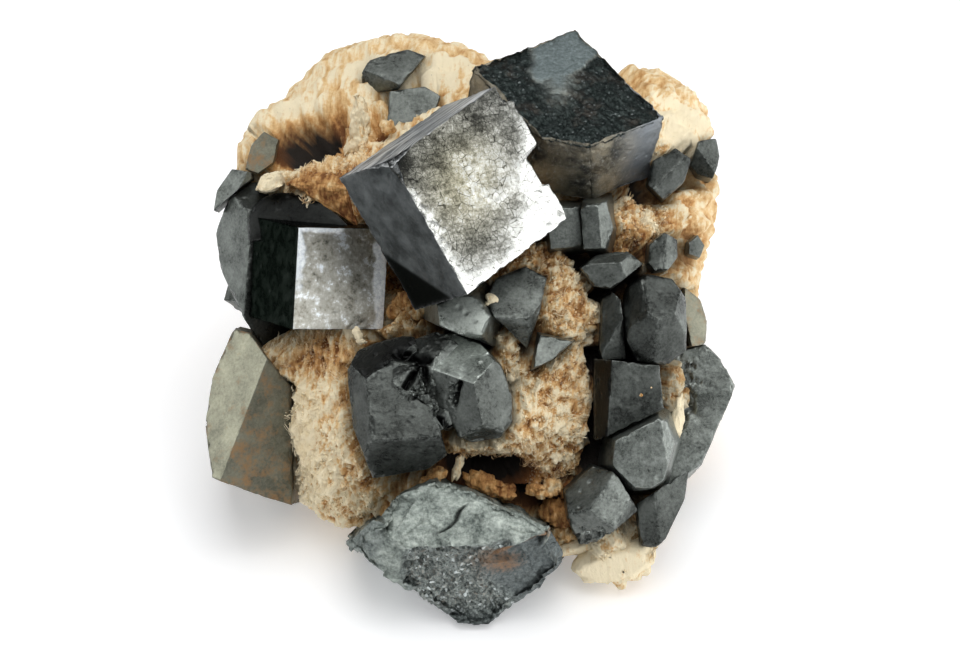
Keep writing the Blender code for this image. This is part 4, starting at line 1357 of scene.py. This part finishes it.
def repeated(points, pattern, marks):
    """Copies joined in one mesh: the points of each, one pattern of faces, and attributes spread
    from one number a copy to its points."""
    count, each = points.shape[:2]
    faces = (pattern[None] + np.arange(count)[:, None, None] * each).reshape(-1, pattern.shape[1])
    spread = {label: np.repeat(values, each) for label, values in marks.items()}
    return points.reshape(-1, 3), faces, spread


def loose_grains(count, seed):
    """Small angular grains: each is a cube whose corners are pushed about at random."""
    chance = np.random.default_rng(seed)
    spots, outward, marks = surface_samples(count, chance)
    marks["hollow"] = np.clip(marks["hollow"] + chance.normal(-0.1, 0.3, count), 0, 1)
    corners = np.array(list(itertools.product((-1, 1), repeat=3)), float)
    radius = chance.uniform(*GRAIN_SIZES, count) * chance.uniform(0.5, 1.0, count)
    shape = corners * chance.uniform(0.45, 1.0, (count, 8, 1)) * chance.uniform(0.5, 1, (count, 1, 3))
    turn, _ = np.linalg.qr(chance.normal(size=(count, 3, 3)))
    turn *= np.sign(np.linalg.det(turn))[:, None, None]
    places = spots + outward * radius[:, None] * 0.2
    points = places[:, None, :] + np.einsum("nij,nkj->nki", turn, shape) * radius[:, None, None]
    pattern = np.array(
        [(0, 1, 3, 2), (4, 6, 7, 5), (0, 4, 5, 1), (2, 3, 7, 6), (0, 2, 6, 4), (1, 5, 7, 3)]
    )
    return repeated(points, pattern, marks)


def stone_marks(count, pale, rusty):
    """The matrix's attributes for points of a plate or lump of it that is this pale and rusty."""
    shades = zip(MATRIX_MARKS, (0.35, 0.0, pale, rusty, 0.0))
    return {label: np.full(count, shade) for label, shade in shades}


def build_slab(name, finish, outline, front, back, pale, rusty):
    """A plate of matrix, bounded as a crystal is but lumpy and round-edged."""

    def lumpy(places, edge, outward, depth):
        marks = stone_marks(len(places), pale, rusty)
        lumps = layers(places / 0.8, 4, 61)
        marks["hollow"] = np.clip(0.35 + 0.5 * lumps, 0, 1)
        return depth + 0.28 * (1 + lumps) + 0.1 * shards(places / 0.35, 63), marks

    build_crystal(
        name, finish, "fibrous_matrix", lumpy, planes=slab_planes(outline, front, back),
        cells=24, seed=1, wear=8.0, grow=0.3, pit=0.0,
    )


def stone_lumps(table):
    """Round lumps of matrix: each is a ball, stretched to its radii, turned on the display face,
    and swollen by noise times its roughness."""
    ball, pattern = box_grid(14, 14)
    ball = unit(ball)
    points = []
    for middle, radii, turn, _, _, rough in table:
        lump = (ball * np.array(radii)) @ turned(math.radians(turn))
        places = middle + lump
        crumbs = 1.1 * shards(places / 0.38, 67) / max(1.0, *radii)
        swell = 1 + rough * (layers(places / 0.9, 4, 65) + crumbs - 0.3)
        points.append(middle + lump * swell[:, None])
    pale, rusty = (np.array([row[column] for row in table]) for column in (3, 4))
    return repeated(np.array(points), pattern, stone_marks(len(table), pale, rusty))


# Operators ------------------------------------------------------------------------------------


class SPECIMEN_OT_cubes(bpy.types.Operator):
    """Build the three large cubes"""

    bl_idname = "specimen.cubes"
    bl_label = "Large cubes"

    def execute(self, context):
        for name, (finish, extra, changes) in CUBES.items():
            build_crystal(name, finish(), "black_crystal", extra, **changes)
        return {"FINISHED"}


class SPECIMEN_OT_crystals(bpy.types.Operator):
    """Build the smaller crystals"""

    bl_idname = "specimen.crystals"
    bl_label = "Smaller crystals"

    def execute(self, context):
        crystals = context.scene.specimen_crystals
        dark, light = np.array(crystals.dark), np.array(crystals.light)
        rough = crystals.roughness
        black = crystal_finish("black_metal", dark * 0.8, light * 0.8, rough)
        slate = crystal_finish("slate_metal", dark * 1.5, light * 1.1, rough)
        weathered = {"rust": 1.0, "metal": 0.5, "spread": 0.2}
        rusty = crystal_finish(
            "rusty_metal", dark * WEATHERED, light * WEATHERED, rough + 0.12, **weathered
        )
        for table, finish, slot in (
            (BLACK_CRYSTALS, black, "black_crystal"),
            (SLATE_CRYSTALS, slate, "slate_crystal"),
            (RUSTY_CRYSTALS, rusty, "rusty_crystal"),
        ):
            for name, changes in table.items():
                build_crystal(name, finish, slot, **changes)
        for name, (outline, front, back, changes) in EXTRA_CRYSTALS.items():
            changes = {"planes": slab_planes(outline, front, back), **changes}
            build_crystal(name, slate, "slate_crystal", **changes)
        build_crystal(
            "bottom_crystal", broken_finish(), "slate_crystal", bottom_crystal_extra,
            cells=46, seed=36, terrace=0.05, pit=0.12, chip=0.3,
        )
        return {"FINISHED"}


class SPECIMEN_OT_matrix(bpy.types.Operator):
    """Build the matrix with its needles and grains"""

    bl_idname = "specimen.matrix"
    bl_label = "Matrix"

    def execute(self, context):
        matrix = context.scene.specimen_matrix
        planes = crystal_planes()
        stone = matrix_finish("fibrous_stone")
        for name, build in (("matrix_body", matrix_body), ("matrix_face", matrix_face)):
            places, faces, marks = build(planes)
            piece = make_piece(name, on_floor(places), faces, stone, marks)
            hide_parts("matrix")
        places, faces, marks = stone_lumps(STONE_LUMPS)
        make_piece("matrix_lumps", on_floor(places), faces, stone, marks)
        for name, changes in STONE_SLABS.items():
            build_slab(name, stone, *changes)
        pale_stone = matrix_finish("pale_fibres", 0.25)
        for name, build, count, seed in (
            ("matrix_needles", needles, matrix.needle_count, 171),
            ("matrix_grains", loose_grains, matrix.grain_count, 173),
        ):
            places, faces, marks = build(count, seed)
            points = from_display(places)
            make_piece(name, points, faces, pale_stone, marks, smooth=False)
        return {"FINISHED"}


FLOOR_REACH = 3.0  # metres from its middle to each side
FLOOR_GLOW = 0.26
SKY_STRENGTH = 0.26
SOFT_BOXES = (
    # name, azimuth and height in degrees, distance, width and height in metres, and brightness
    ("window", 102, 15, 0.5, 0.60, 0.32, 2.6),
    ("overhead", 60, 84, 0.5, 0.42, 0.42, 2.0),
    ("front", 168, 64, 0.5, 0.34, 0.34, 2.5),
    ("left", -86, 28, 0.6, 0.36, 0.36, 2.1),
)


def toward(azimuth, height, distance):
    """A way from the specimen: its azimuth, clockwise from the back as seen from above, and its
    height, both in degrees, and its length."""
    azimuth, height = math.radians(azimuth), math.radians(height)
    level = math.cos(height)
    way = [math.sin(azimuth) * level, math.cos(azimuth) * level, math.sin(height)]
    return np.array(way) * distance


def soft_box(name, way, wide, high, brightness):
    """A soft light this way from the display face's middle, which it faces. Its power is pi times
    its area times its brightness."""
    lamp = bpy.data.lights.new(name, "AREA")
    lamp.shape = "RECTANGLE"
    lamp.size, lamp.size_y = wide, high
    lamp.energy = math.pi * wide * high * brightness
    light = bpy.data.objects.new(name, lamp)
    light.location = display_middle + way
    light.rotation_euler = Vector(way).to_track_quat("Z", "Y").to_euler()
    bpy.context.scene.collection.objects.link(light)


class SPECIMEN_OT_stage(bpy.types.Operator):
    """Lay the floor, hang the soft lights and place the camera"""

    bl_idname = "specimen.stage"
    bl_label = "Stage"

    def execute(self, context):
        stage = context.scene.specimen_stage
        corners = np.array([(-1, -1, 0), (1, -1, 0), (1, 1, 0), (-1, 1, 0)]) * FLOOR_REACH
        mesh = bpy.data.meshes.new("floor")
        mesh.from_pydata(corners.tolist(), [], [(0, 1, 2, 3)])
        floor = bpy.data.objects.new("floor", mesh)
        finish = Finish("pale_floor")
        glow = {"emission_color": (0.97, 0.98, 1.0), "emission_strength": FLOOR_GLOW}
        mesh.materials.append(finish.set(base_color=stage.floor, roughness=0.9, **glow))
        context.scene.collection.objects.link(floor)

        for name, azimuth, height, distance, *look in SOFT_BOXES:
            soft_box(name, toward(azimuth, height, distance), *look)

        world = bpy.data.worlds.new("studio")
        world.use_nodes = True
        sky = world.node_tree.nodes["Background"]
        sky.inputs["Color"].default_value = (0.94, 0.97, 1.0, 1)
        sky.inputs["Strength"].default_value = SKY_STRENGTH
        context.scene.world = world
        context.scene.view_settings.view_transform = "Standard"

        lens = bpy.data.cameras.new("camera")
        lens.lens = stage.distance / stage.view_width * lens.sensor_width
        camera = bpy.data.objects.new("camera", lens)
        camera.location = display_middle + OUT * stage.distance
        camera.rotation_euler = Vector(OUT).to_track_quat("Z", "Y").to_euler()
        context.scene.collection.objects.link(camera)
        context.scene.camera = camera
        return {"FINISHED"}


class SPECIMEN_PT_panel(bpy.types.Panel):
    bl_idname = "SPECIMEN_PT_panel"
    bl_label = "Mineral Specimen"
    bl_space_type = "VIEW_3D"
    bl_region_type = "UI"
    bl_category = "Specimen"

    def draw(self, context):
        scene = context.scene
        for settings in (scene.specimen_crystals, scene.specimen_matrix, scene.specimen_stage):
            box = self.layout.box()
            for key in settings.__annotations__:
                box.prop(settings, key)
        for operator in OPERATORS:
            self.layout.operator(operator.bl_idname)


OPERATORS = (SPECIMEN_OT_stage, SPECIMEN_OT_cubes, SPECIMEN_OT_crystals, SPECIMEN_OT_matrix)
SETTINGS = {
    "specimen_crystals": SpecimenCrystals,
    "specimen_matrix": SpecimenMatrix,
    "specimen_stage": SpecimenStage,
}


def register():
    for group in (*SETTINGS.values(), *OPERATORS, SPECIMEN_PT_panel):
        bpy.utils.register_class(group)
    for name, group in SETTINGS.items():
        setattr(bpy.types.Scene, name, bpy.props.PointerProperty(type=group))


def unregister():
    for name in SETTINGS:
        delattr(bpy.types.Scene, name)
    for group in reversed((*SETTINGS.values(), *OPERATORS, SPECIMEN_PT_panel)):
        bpy.utils.unregister_class(group)


def main():
    register()
    bpy.ops.specimen.stage()
    bpy.ops.specimen.cubes()
    bpy.ops.specimen.crystals()
    bpy.ops.specimen.matrix()


if __name__ == "__main__":
    main()
